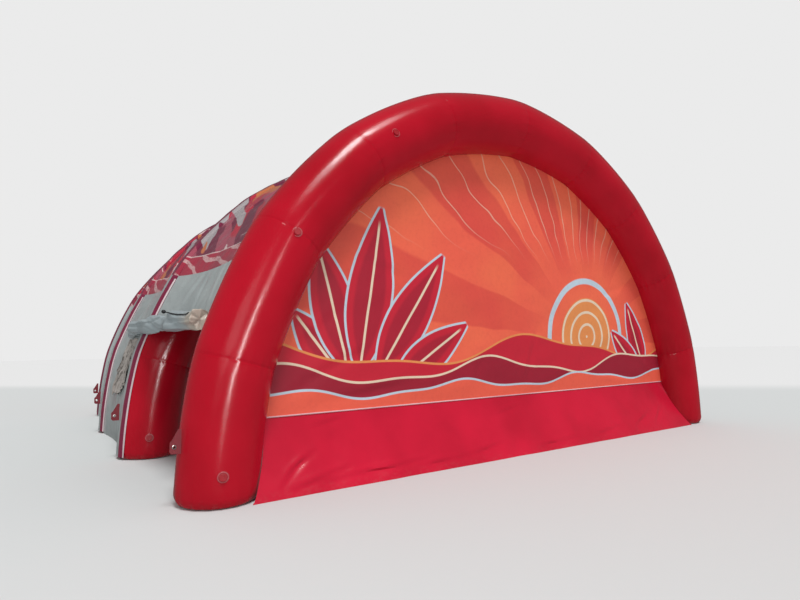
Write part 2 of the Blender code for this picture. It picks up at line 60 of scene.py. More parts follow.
TUBE_RADIUS = 0.44
BAY_LENGTH = 3.28
SEAT_GAP = 0.0003
CLOTH = 0.003
SKIRT_HEIGHT = 0.83
ARCH_RUN = 5.2  # metres of cloth to a radian of arch angle
REAR_SEAM = 39.0  # tube angle at which the last cloth meets the rear arch
LAP_LIFT = 0.0015  # height of that cloth's lap over the rear arch
WELDS = np.array([0.0, 17.0, 35.0, 53.0, 71.0, 90.0, 109.0, 127.0, 145.0, 163.0, 180.0])
STATIONS = np.array([0.0, 1.5, 6.0, 11.5, 16.5, 21.5, 26.8] + [32.0 + 5.8 * k for k in range(21)]
                    + [153.2, 158.5, 163.5, 168.5, 174.0, 178.5, 180.0])
DOOR_HEAD_ANGLE = 21.5
BORDER_ANGLE = 32.0


class Value:
    """A socket of a material. Numbers take part in Python expressions, and each operator adds its Math node."""

    def __init__(self, paint: "Paint", socket: bpy.types.NodeSocket) -> None:
        """Keep the socket and the material that it belongs to."""
        self.paint = paint
        self.socket = socket

    def __add__(self, other: "Value | float") -> "Value":
        """Sum."""
        return self.paint.math("ADD", self, other)

    def __radd__(self, other: float) -> "Value":
        """Sum with a plain number on the left."""
        return self.paint.math("ADD", other, self)

    def __sub__(self, other: "Value | float") -> "Value":
        """Difference."""
        return self.paint.math("SUBTRACT", self, other)

    def __rsub__(self, other: float) -> "Value":
        """Difference with a plain number on the left."""
        return self.paint.math("SUBTRACT", other, self)

    def __mul__(self, other: "Value | float") -> "Value":
        """Product."""
        return self.paint.math("MULTIPLY", self, other)

    def __rmul__(self, other: float) -> "Value":
        """Product with a plain number on the left."""
        return self.paint.math("MULTIPLY", other, self)

    def __truediv__(self, other: "Value | float") -> "Value":
        """Quotient."""
        return self.paint.math("DIVIDE", self, other)

    def __abs__(self) -> "Value":
        """Size without its sign."""
        return self.paint.math("ABSOLUTE", self)

    def sine(self) -> "Value":
        """Sine of an angle in radians."""
        return self.paint.math("SINE", self)

    def least(self, other: "Value | float") -> "Value":
        """Smaller of two values."""
        return self.paint.math("MINIMUM", self, other)

    def most(self, other: "Value | float") -> "Value":
        """Larger of two values."""
        return self.paint.math("MAXIMUM", self, other)

    def step(self, low: float, high: float) -> "Value":
        """Soft step from 0 at low to 1 at high. With low over high it falls.

        Args:
            low: value where the step starts.
            high: value where it ends.

        Returns:
            A value from 0 to 1.
        """
        ends = {"From Min": min(low, high), "From Max": max(low, high)}
        ends |= {"To Min": 0.0, "To Max": 1.0} if low < high else {"To Min": 1.0, "To Max": 0.0}
        return self.paint.node("ShaderNodeMapRange", {"interpolation_type": "SMOOTHSTEP"}, {"Value": self} | ends)


class Paint:
    """One material and the nodes that it is made of."""

    def __init__(self, name: str) -> None:
        """Start a material with a Principled shader.

        Args:
            name: name of the material.
        """
        self.material = bpy.data.materials.new(name)
        self.material.use_nodes = True
        self.tree = self.material.node_tree
        self.shader = self.tree.nodes["Principled BSDF"]

    def feed(self, socket: bpy.types.NodeSocket, value: "Value | float | tuple") -> None:
        """Link a value to a socket, or set the socket to a number or a colour.

        Args:
            socket: the socket that takes the value.
            value: a Value, a number, a vector, or a colour of three numbers.
        """
        if isinstance(value, Value):
            self.tree.links.new(value.socket, socket)
        elif isinstance(value, tuple) and socket.type == "RGBA":
            socket.default_value = (*value, 1.0)[:4]
        else:
            socket.default_value = value

    def node(self, kind: str, settings: dict | None = None, inputs: dict | None = None, output: int | str = 0) -> Value:
        """Add a node.

        Args:
            kind: type name of the node.
            settings: properties, which are set first.
            inputs: values or links, by the name or number of the socket.
            output: name or number of the socket that is returned.

        Returns:
            The chosen output.
        """
        node = self.tree.nodes.new(kind)
        for name, value in (settings or {}).items():
            setattr(node, name, value)
        for name, value in (inputs or {}).items():
            self.feed(node.inputs[name], value)
        return Value(self, node.outputs[output])

    def math(self, operation: str, *values: "Value | float") -> Value:
        """Math node over one or two values."""
        return self.node("ShaderNodeMath", {"operation": operation}, dict(enumerate(values)))

    def mix(self, share: "Value | float", low: "Value | Colour", high: "Value | Colour") -> Value:
        """Colour between low (share 0) and high (share 1)."""
        return self.node("ShaderNodeMix", {"data_type": "RGBA"}, {0: share, 6: low, 7: high}, 2)

    def layers(self, colour: "Value | Colour", *layers: "tuple[Value | float, Value | Colour]") -> Value:
        """Lay colours one after another over a first one.

        Args:
            colour: the first colour.
            layers: the share and the colour of each layer.

        Returns:
            The colour that they make together.
        """
        for share, tint in layers:
            colour = self.mix(share, colour, tint)
        return colour

    def place(self) -> tuple[Value, Value, Value, Value]:
        """Object coordinates in metres: the vector and its x, y and z."""
        vector = self.node("ShaderNodeTexCoord", output="Object")
        return vector, *self.parts(vector)

    def parts(self, vector: Value) -> tuple[Value, Value, Value]:
        """The x, y and z of a vector."""
        return tuple(self.node("ShaderNodeSeparateXYZ", inputs={0: vector}, output=k) for k in range(3))

    def told(self, name: str = "place") -> tuple[Value, Value, Value]:
        """The three numbers that a mesh keeps at each point under a name."""
        return self.parts(self.node("ShaderNodeAttribute", {"attribute_name": name}, output="Vector"))

    def scaled(self, vector: Value, factors: tuple[float, float, float]) -> Value:
        """Vector multiplied axis by axis."""
        return self.node("ShaderNodeVectorMath", {"operation": "MULTIPLY"}, {0: vector, 1: factors})

    def noise(self, vector: Value, scale: float, detail: float = 2.0, roughness: float = 0.5) -> Value:
        """Soft noise from 0 to 1."""
        inputs = {"Vector": vector, "Scale": scale, "Detail": detail, "Roughness": roughness}
        return self.node("ShaderNodeTexNoise", inputs=inputs)

    def bump(self, height: Value, distance: float, strength: float = 1.0, under: Value | None = None) -> Value:
        """Normal of a height in units of distance, on top of another bump if one is given."""
        inputs = {"Height": height, "Distance": distance, "Strength": strength}
        return self.node("ShaderNodeBump", inputs=inputs | ({"Normal": under} if under else {}))

    def finish(self, varying: dict[str, Value], fixed: dict[str, float]) -> bpy.types.Material:
        """Feed the shader.

        Args:
            varying: links by the name of the shader's socket.
            fixed: numbers that are the same all over, by the name of the socket.

        Returns:
            The finished material.
        """
        for name, value in (varying | fixed).items():
            self.feed(self.shader.inputs[name], value)
        return self.material


def weave(paint: Paint, vector: Value, pitch: float) -> Value:
    """Height of a plain weave that stands on all sides of a piece.

    Args:
        paint: the material.
        vector: coordinates in metres.
        pitch: distance between two threads.

    Returns:
        Height from about -1 to 1.
    """
    x, y, z = paint.parts(paint.scaled(vector, (tau / pitch,) * 3))
    return ((x + y).sine() * (y - z).sine() + (z + x).sine()) * 0.5


def woven(paint: Paint, vector: Value, crumple: Value, depth: float, strength: float, pitch: float = 0.005) -> Value:
    """Normal of a woven cloth with crumples of some depth in it."""
    return paint.bump(crumple, depth, strength, paint.bump(weave(paint, vector, pitch), 0.00015))


@dataclass(frozen=True)
class PvcFinish:
    """Glossy coated fabric of the air tubes, with welded joints and dust at the feet."""

    name: str = "red_pvc"
    light: Colour = (0.50, 0.0045, 0.019)
    deep: Colour = (0.40, 0.0030, 0.013)
    dust: Colour = (0.40, 0.08, 0.08)
    roughness: float = 0.16

    def material(self) -> bpy.types.Material:
        """Material whose mesh tells the distance from the nearest weld and the arch's length."""
        paint = Paint(self.name)
        vector, _, _, z = paint.place()
        weld, _, _ = paint.told()
        cloudy = paint.noise(vector, 0.9, 3.0)
        fine = paint.noise(vector, 14.0, 3.0, 0.6)
        joint = weld.step(0.026, 0.020)
        edge = joint * weld.step(0.012, 0.019)
        grime = z.step(0.10, 0.0) * fine.step(0.42, 0.75)
        colour = paint.layers(self.deep, (cloudy.step(0.3, 0.7), self.light), (edge * 0.35, self.deep),
                              (grime * 0.35, self.dust))
        rough = self.roughness + fine * 0.08 + grime * 0.25 - joint * 0.05
        scrim = paint.bump(weave(paint, vector, 0.0065), 0.00012)
        normal = paint.bump(paint.noise(vector, 5.0, 2.0), 0.004, 0.30, scrim)
        return paint.finish({"Base Color": colour, "Roughness": rough, "Normal": normal},
                            {"Coat Weight": 0.15, "Coat Roughness": 0.09, "Specular IOR Level": 0.25})


@dataclass(frozen=True)
class ClothFinish:
    """Coated nylon in one colour, with clouds of a second shade, soft wrinkles, dust near the ground and, if asked,
    painted fold shade.
    """

    name: str
    light: Colour
    deep: Colour
    roughness: float = 0.42
    coat: float = 0.12
    wrinkle: float = 0.006
    wrinkle_scale: float = 5.0
    pitch: float = 0.005
    dusty: float = 0.25
    far: Colour | None = None
    change: tuple[float, float] = (0.0, 1.0)
    trough: Colour | None = None
    dust: Colour = (0.36, 0.27, 0.23)

    def material(self) -> bpy.types.Material:
        """Material from the piece's own coordinates.

        A far colour takes over along the tent. A trough colour is painted shade: it darkens the low parts of the folds
        that the mesh tells of, and short slanting strokes that stand for the shade between small folds.
        """
        paint = Paint(self.name)
        vector, _, y, z = paint.place()
        cloudy = paint.noise(vector, 1.1, 3.0)
        fine = paint.noise(vector, 22.0, 3.0, 0.6)
        crumple = paint.noise(paint.scaled(vector, (1.0, 1.0, 0.55)), self.wrinkle_scale, 3.0, 0.5)
        grime = z.step(0.12, 0.0) * fine.step(0.45, 0.75)
        colour = paint.mix(cloudy.step(0.28, 0.72), self.deep, self.light)
        if self.far:
            colour = paint.mix((y + cloudy * 0.6 - 0.3).step(*self.change) * (0.75 + cloudy * 0.25), colour, self.far)
        # Painted shade: the trough colour darkens the low parts of the folds and slanting strokes between them.
        if self.trough:
            lift, share, across = paint.told()
            painted_fold_strokes = ((across + share * 0.42) * 120.0 + fine * 6.0 + cloudy * 14.0).sine().step(0.0, 0.8)
            low = lift.step(0.55, 0.05) * 0.6
            colour = paint.mix(low.most(painted_fold_strokes * crumple.step(0.38, 0.52) * 0.75), colour, self.trough)
        colour = paint.layers(colour, (fine.step(0.55, 0.8) * 0.12, self.deep), (grime * self.dusty, self.dust))
        normal = woven(paint, vector, crumple, self.wrinkle, 0.8, self.pitch)
        rough = self.roughness + fine * 0.10 + grime * 0.15
        return paint.finish({"Base Color": colour, "Roughness": rough, "Normal": normal},
                            {"Coat Weight": self.coat, "Coat Roughness": 0.14, "Sheen Weight": 0.02,
                             "Specular IOR Level": 0.15})


@dataclass(frozen=True)
class Leaf:
    """One pointed leaf of the wall's print: its root, the way it points, its length and its width."""

    x: float
    z: float
    turn: float
    length: float
    width: float


@dataclass(frozen=True)
class WallPrint:
    """Printed end wall: a low sun behind hills with fanning rays, and pointed leaves at the sides."""

    name: str = "salmon_print_cloth"
    ground: Colour = (0.88, 0.122, 0.070)
    warm: Colour = (0.92, 0.160, 0.074)
    crimson: Colour = (0.60, 0.010, 0.034)
    dark: Colour = (0.36, 0.008, 0.030)
    amber: Colour = (0.82, 0.29, 0.085)
    cream: Colour = (0.82, 0.67, 0.50)
    blue: Colour = (0.52, 0.66, 0.76)
    sun: tuple[float, float, float] = (1.75, 1.72, 0.66)
    leaves: tuple[Leaf, ...] = (
        Leaf(-3.05, 1.25, 128.0, 1.05, 0.20), Leaf(-2.95, 1.30, 104.0, 1.75, 0.27), Leaf(-2.80, 1.25, 80.0, 2.25, 0.31),
        Leaf(-2.55, 1.20, 56.0, 2.05, 0.29), Leaf(-2.30, 1.10, 32.0, 1.55, 0.24), Leaf(3.45, 1.10, 112.0, 1.35, 0.22),
        Leaf(3.30, 1.05, 138.0, 1.15, 0.19),
    )

    def hill(self, x: Value, height: float, swell: float, rate: float, phase: float) -> Value:
        """Height of a hill line over the ground."""
        return height + (x * rate + phase).sine() * swell + (x * (rate * 2.3) + phase * 1.7).sine() * (0.35 * swell)

    def leaf(self, paint: Paint, colour: Value, x: Value, z: Value, leaf: Leaf) -> Value:
        """Lay one leaf with its pale edge and midrib over a colour."""
        turn = radians(leaf.turn)
        along = ((x - leaf.x) * cos(turn) + (z - leaf.z) * sin(turn)) / leaf.length
        aside = abs((z - leaf.z) * cos(turn) - (x - leaf.x) * sin(turn))
        room = along * (1.0 - along) * (4.0 * leaf.width) * (1.25 - along * 0.5) - aside
        inside = along.step(0.0, 0.02) * along.step(1.0, 0.98)
        rib = aside.step(0.022, 0.012) * inside * along.step(0.92, 0.85)
        return paint.layers(colour, (room.step(-0.045, -0.035) * inside, self.blue),
                            (room.step(-0.012, 0.0) * inside, self.crimson),
                            (room.step(0.06, 0.12) * inside * 0.7, self.dark), (rib, self.cream))

    def material(self) -> bpy.types.Material:
        """Material from the wall's x and z in metres."""
        paint = Paint(self.name)
        vector, x, _, z = paint.place()
        soft = paint.noise(vector, 0.8, 2.0)
        fine = paint.noise(vector, 18.0, 3.0, 0.6)
        east = x - self.sun[0]
        rise = z - self.sun[1]
        far = paint.math("SQRT", east * east + rise * rise)
        swing = paint.math("ARCTAN2", rise, east)
        fan = (swing * 13.0 + soft * 1.5).sine()
        thread = abs((swing * 26.0 + soft * 5.0).sine()) * far
        disc = paint.mix(abs((far * 15.0).sine()).step(0.25, 0.4), self.cream, self.amber)
        colour = paint.layers(self.ground, (soft.step(0.3, 0.7), self.warm),
                              (fan.step(-0.1, 0.1) * far.step(0.8, 2.2) * 0.40, self.crimson),
                              (thread.step(0.30, 0.16) * rise.step(1.15, 1.9) * 0.45, self.cream),
                              (far.step(1.02, 1.00) * far.step(0.90, 0.92), self.blue),
                              (far.step(self.sun[2] + 0.01, self.sun[2]), disc))
        for leaf in self.leaves:
            colour = self.leaf(paint, colour, x, z, leaf)
        hills = ((1.52, 0.19, 1.25, 0.9, self.crimson, self.amber), (1.26, 0.13, 1.75, 2.4, self.dark, self.cream),
                 (1.02, 0.07, 2.30, 4.1, self.ground, self.blue))
        for height, swell, rate, phase, body, rim in hills:
            above = self.hill(x, height, swell, rate, phase) - z
            colour = paint.layers(colour, (above.step(-0.035, -0.025), rim), (above.step(-0.005, 0.005), body))
        colour = paint.mix(fine.step(0.4, 0.85) * 0.10, colour, self.dark)
        crumple = paint.noise(paint.scaled(vector, (1.0, 1.0, 0.6)), 3.6, 3.0)
        return paint.finish({"Base Color": colour, "Roughness": 0.42 + fine * 0.1,
                             "Normal": woven(paint, vector, crumple, 0.010, 0.6)},
                            {"Coat Weight": 0.10, "Coat Roughness": 0.3, "Sheen Weight": 0.02,
                             "Specular IOR Level": 0.3})


@dataclass(frozen=True)
class CanopyPrint:
    """Printed roof cloth: slanting brush strokes in crimson, plum, silver and orange, over a border with painted
    highlight streaks.
    """

    name: str = "canopy_print_cloth"
    crimson: Colour = (0.52, 0.014, 0.045)
    plum: Colour = (0.20, 0.012, 0.050)
    rose: Colour = (0.42, 0.075, 0.12)
    silver: Colour = (0.42, 0.38, 0.39)
    orange: Colour = (0.60, 0.17, 0.06)
    pale: Colour = (0.80, 0.62, 0.60)
    border_red: Colour = (0.44, 0.020, 0.055)
    border_plum: Colour = (0.28, 0.030, 0.060)
    border: float = 0.36

    def stroke(self, paint: Paint, over: Value, along: Value, layer: float) -> Value:
        """Noise from 0 to 1 that is drawn out into slanting strokes.

        Args:
            paint: the material.
            over: metres over the tent from the low end of the cloth.
            along: metres along the tent.
            layer: number that chooses the strokes.

        Returns:
            The noise, of which the high parts are strokes.
        """
        turn = 0.62 + (0.05 * layer) % 0.5
        drawn = (over * cos(turn) + along * sin(turn)) * 0.62
        aside = (along * cos(turn) - over * sin(turn)) * 2.7
        way = paint.node("ShaderNodeCombineXYZ", inputs={0: drawn, 1: aside, 2: layer})
        return paint.noise(way, 1.0, 1.6, 0.4)

    def print(self, paint: Paint, edge: Value, along: Value, over: Value, vector: Value) -> Value:
        """Colour of the print, with painted highlight streaks on its border.

        Args:
            paint: the material.
            edge: metres from the nearer low end of the cloth.
            along: metres along the tent.
            over: metres over the tent from the low end.
            vector: object coordinates.

        Returns:
            The colour.
        """
        soft = paint.noise(vector, 0.7, 2.0)
        fine = paint.noise(vector, 20.0, 3.0, 0.6)
        colour = self.crimson
        for layer, low, high, tint in ((0.0, 0.46, 0.50, self.plum), (3.7, 0.60, 0.62, self.rose),
                                       (7.1, 0.585, 0.60, self.silver), (11.9, 0.61, 0.625, self.orange)):
            colour = paint.mix(self.stroke(paint, over, along, layer).step(low, high), colour, tint)
        contour = abs(self.stroke(paint, over, along, 17.3) - 0.52)
        dabs = self.stroke(paint, over, along, 23.9).step(0.665, 0.68)
        # Painted highlight: pale slanting streaks on the border stand for light caught by its creases.
        painted_highlight_streak = (along * 6.5 - edge * 19.0 + soft * 14.0).sine().step(0.62, 0.80) * fine.step(0.30, 0.50)
        strip = paint.layers(self.border_red, (soft.step(0.42, 0.58), self.border_plum), (painted_highlight_streak * 0.6, self.pale))
        return paint.layers(colour, (contour.step(0.014, 0.007) * soft.step(0.42, 0.52), self.pale),
                            (dabs * 0.9, self.pale), (edge.step(self.border + 0.005, self.border), strip),
                            (abs(edge - self.border).step(0.016, 0.010) * 0.7, self.pale),
                            (fine.step(0.5, 0.85) * 0.12, self.plum))

    def wrapped(self, paint: Paint, vector: Value, colour: Value) -> bpy.types.Material:
        """Finish a material with the cloth's crumples, weave and gloss."""
        fine = paint.noise(vector, 20.0, 3.0, 0.6)
        normal = woven(paint, vector, paint.noise(vector, 5.0, 3.0), 0.026, 0.7)
        return paint.finish({"Base Color": colour, "Roughness": 0.30 + fine * 0.10, "Normal": normal},
                            {"Coat Weight": 0.55, "Coat Roughness": 0.12, "Sheen Weight": 0.02,
                             "Specular IOR Level": 0.4})

    def material(self) -> bpy.types.Material:
        """Material whose mesh tells how far a point lies from an edge, along the tent, and over it."""
        paint = Paint(self.name)
        vector, _, _, _ = paint.place()
        edge, along, over = paint.told()
        return self.wrapped(paint, vector, self.print(paint, edge, along, over, vector))


@dataclass(frozen=True)
class BandFinish(CanopyPrint):
    """Cloth over an arch: the roof's print over the grey of the sides, with a dark crimson stripe along it."""

    name: str = "band_over_arch"
    dark: Colour = (0.23, 0.009, 0.050)
    grey: Colour = (0.38, 0.42, 0.415)
    side_stripe: float = 78.0
    roof_stripe: float = 16.0
    run: float = radians(180.0 - 2.0 * BORDER_ANGLE) * ARCH_RUN

    def material(self) -> bpy.types.Material:
        """Material whose mesh tells the tube angle, the metres along the tent and those over it from the border."""
        paint = Paint(self.name)
        vector, _, _, _ = paint.place()
        tube, along, over = paint.told()
        edge = over.least(self.run - over)
        side = edge.step(0.006, -0.006)
        colour = paint.mix(side, self.print(paint, edge, along, over, vector), self.grey)
        low = tube.step(self.side_stripe + 0.5, self.side_stripe - 0.5)
        high = abs(tube - 90.0).step(self.roof_stripe + 0.5, self.roof_stripe - 0.5)
        return self.wrapped(paint, vector, paint.mix(side * low + (1.0 - side) * high, colour, self.dark))


@dataclass(frozen=True)
class WebbingFinish:
    """Woven strap with ribs and a little fuzz."""

    name: str = "tab_webbing"
    light: Colour = (0.31, 0.020, 0.034)
    deep: Colour = (0.18, 0.010, 0.020)
    pitch: float = 0.0035

    def material(self) -> bpy.types.Material:
        """Material from the strap's own coordinates."""
        paint = Paint(self.name)
        vector, _, _, z = paint.place()
        ribs = (z * (tau / self.pitch)).sine()
        fuzz = paint.noise(vector, 160.0, 2.0)
        colour = paint.mix(ribs.step(-0.6, 0.6), self.deep, self.light)
        normal = paint.bump(ribs + fuzz * 0.6, 0.0004)
        return paint.finish({"Base Color": colour, "Normal": normal}, {"Roughness": 0.72, "Sheen Weight": 0.25})


@dataclass(frozen=True)
class HardFinish:
    """Moulded plastic, metal or cord in one colour with rubbed spots."""

    name: str
    light: Colour
    deep: Colour
    roughness: float
    metallic: float = 0.0
    grain: float = 90.0
    relief: float = 0.0003

    def material(self) -> bpy.types.Material:
        """Material from the piece's own coordinates."""
        paint = Paint(self.name)
        vector, _, _, _ = paint.place()
        spots = paint.noise(vector, self.grain, 3.0, 0.6)
        colour = paint.mix(spots.step(0.35, 0.7), self.deep, self.light)
        return paint.finish({"Base Color": colour, "Roughness": self.roughness + spots * 0.12,
                             "Normal": paint.bump(spots, self.relief)}, {"Metallic": self.metallic})


class Finish(Enum):
    """The finishes of the tent, by the material slots of the record."""

    PVC = PvcFinish()
    WALL = WallPrint()
    SKIRT = ClothFinish("crimson_skirt_cloth", (0.62, 0.006, 0.036), (0.50, 0.004, 0.027), 0.28, 0.60, 0.014, 3.2,
                        dusty=0.08)
    PLAIN = ClothFinish("plain_orange_cloth", (0.60, 0.11, 0.055), (0.54, 0.085, 0.042), 0.42, 0.10, 0.010, 3.4)
    ROOF = CanopyPrint()
    SILVER = ClothFinish("silver_grey_cloth", (0.41, 0.45, 0.445), (0.365, 0.405, 0.405), 0.32, 0.5, 0.018, 4.5)
    BAND = BandFinish()
    BINDING = ClothFinish("dark_crimson_binding", (0.25, 0.010, 0.052), (0.19, 0.008, 0.042), 0.34, 0.3, 0.006, 6.0)
    WHITE = ClothFinish("white_edging", (0.76, 0.66, 0.67), (0.62, 0.48, 0.50), 0.45, 0.1, 0.003, 12.0)
    PIPING = ClothFinish("pink_piping", (0.78, 0.50, 0.52), (0.66, 0.36, 0.40), 0.45, 0.1, 0.001, 20.0)
    FLAP = ClothFinish("door_flap_cloth", (0.56, 0.50, 0.42), (0.42, 0.37, 0.31), 0.42, 0.2, 0.006, 9.0,
                       far=(0.30, 0.365, 0.395), change=(-4.15, -3.65))
    # The loose end's trough colour is painted shade in its folds.
    FLAP_END = ClothFinish("door_flap_end_cloth", (0.50, 0.455, 0.42), (0.31, 0.27, 0.245), 0.36, 0.3, 0.008, 9.0,
                           trough=(0.10, 0.085, 0.075))
    WEBBING = WebbingFinish()
    CORD = HardFinish("black_cord", (0.030, 0.030, 0.034), (0.012, 0.012, 0.014), 0.62, grain=220.0)
    TOGGLE = HardFinish("black_toggle", (0.035, 0.035, 0.038), (0.015, 0.015, 0.017), 0.38)
    METAL = HardFinish("eyelet_metal", (0.62, 0.60, 0.57), (0.42, 0.40, 0.38), 0.28, 1.0, relief=0.0001)
    VALVE = HardFinish("valve_plastic", (0.48, 0.007, 0.020), (0.36, 0.005, 0.014), 0.30)
    CAP = HardFinish("valve_cap", (0.62, 0.17, 0.19), (0.50, 0.09, 0.11), 0.36)

    def material(self) -> bpy.types.Material:
        """The finish's material, made once."""
        found = bpy.data.materials.get(self.value.name)
        return found if found and found.get("made_here") else self.make()

    def make(self) -> bpy.types.Material:
        """Make the material and mark it."""
        material = self.value.material()
        material["made_here"] = True
        material.name = self.value.name
        return material


def placed(name: str, data: bpy.types.ID) -> bpy.types.Object:
    """Put an object into the scene.

    Args:
        name: name of the object.
        data: its mesh, curve, lamp or camera.

    Returns:
        The object.
    """
    thing = bpy.data.objects.new(name, data)
    bpy.context.scene.collection.objects.link(thing)
    return thing


def dressed(name: str, mesh: bpy.types.Mesh, finish: Finish, node: str | None = None) -> bpy.types.Object:
    """Make a piece, which rides on the tent's one body.

    Args:
        name: name of the piece.
        mesh: its mesh.
        finish: its finish.
        node: the solid that it replaces, if there is one.

    Returns:
        The piece.
    """
    mesh.materials.clear()
    mesh.materials.append(finish.material())
    piece = placed(name, mesh)
    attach(piece, "root")
    if node:
        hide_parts(node)
    log.info("%s: %d points", name, len(mesh.vertices))
    return piece


def vertices(mesh: bpy.types.Mesh, kind: str = "co") -> np.ndarray:
    """Places of a mesh's points, or their normals, in rows."""
    return np.array([tuple(getattr(vertex, kind)) for vertex in mesh.vertices])


def evaluated(thing: bpy.types.Object) -> bpy.types.Mesh:
    """Take the mesh that an object comes out as, and remove the object.

    Args:
        thing: an object with modifiers, or a curve.

    Returns:
        The mesh.
    """
    mesh = bpy.data.meshes.new_from_object(thing.evaluated_get(bpy.context.evaluated_depsgraph_get()))
    bpy.data.objects.remove(thing, do_unlink=True)
    return mesh


def aimed(place: Vector, way: Vector) -> Matrix:
    """Matrix of a place whose Z axis points a given way."""
    return Matrix.Translation(place) @ way.to_track_quat("Z", "Y").to_matrix().to_4x4()


def unit(vectors: np.ndarray) -> np.ndarray:
    """Vectors brought to length one."""
    return vectors / np.linalg.norm(vectors, axis=-1, keepdims=True)


def run_of(path: np.ndarray) -> np.ndarray:
    """Metres from the start of a path to each of its points."""
    return np.concatenate([[0.0], np.cumsum(np.linalg.norm(np.diff(path, axis=0), axis=1))])


def evened(path: np.ndarray, count: int) -> np.ndarray:
    """A path's course by evenly spaced points.

    Args:
        path: points of the path.
        count: how many points are wanted.

    Returns:
        The evenly spaced points.
    """
    run = run_of(path)
    stops = np.linspace(0.0, run[-1], count)
    return np.stack([np.interp(stops, run, path[:, k]) for k in range(3)], -1)


def swell(angle: np.ndarray) -> np.ndarray:
    """Smooth wave from 0 to 1 and back over one turn of an angle in radians."""
    return 0.5 - 0.5 * np.cos(angle)


def ripple(seed: int, count: int, rate: float, *axes: np.ndarray) -> np.ndarray:
    """Smooth uneven relief: the mean of a few sines that run in different directions.

    Args:
        seed: number that chooses the directions.
        count: how many sines.
        rate: mean number of radians to the metre.
        axes: coordinates in metres, of equal shape.

    Returns:
        Relief of about -1 to 1.
    """
    random = np.random.default_rng(seed)
    total = np.zeros(np.broadcast(*axes).shape)
    for _ in range(count):
        way = random.normal(size=len(axes))
        way *= rate * random.uniform(0.6, 1.5) / np.linalg.norm(way)
        total = total + np.sin(sum(part * axis for part, axis in zip(way, axes)) + random.uniform(0.0, tau))
    return total / np.sqrt(count)


@dataclass(frozen=True)
class Crease:
    """A soft trough beside a low ridge, from start to end in a cloth's flat metres."""

    start: tuple[float, float]
    end: tuple[float, float]
    depth: float = 0.016
    width: float = 0.05
    bend: float = 0.0

    def relief(self, u: np.ndarray, v: np.ndarray) -> np.ndarray:
        """Height of the crease.

        Args:
            u: first flat coordinate of the points.
            v: second flat coordinate.

        Returns:
            Heights in metres, below zero in the trough.
        """
        along = np.array(self.end) - np.array(self.start)
        length = float(np.hypot(*along))
        share = ((u - self.start[0]) * along[0] + (v - self.start[1]) * along[1]) / length ** 2
        aside = ((v - self.start[1]) * along[0] - (u - self.start[0]) * along[1]) / length
        inside = np.clip(share, 0.0, 1.0)
        aside = aside - self.bend * np.sin(pi * inside)
        fade = np.sin(pi * inside) ** 0.7 * (0.8 + 0.2 * np.sin(9.0 * share + 5.0 * length))
        trough = -np.exp(-(aside / self.width) ** 2)
        ridge = 0.6 * np.exp(-((aside - 1.9 * self.width) / (1.2 * self.width)) ** 2)
        return self.depth * fade * (trough + ridge)


def creased(creases: tuple[Crease, ...], u: np.ndarray, v: np.ndarray) -> np.ndarray:
    """Height of some creases together at flat coordinates."""
    return sum((crease.relief(u, v) for crease in creases), np.zeros_like(u))


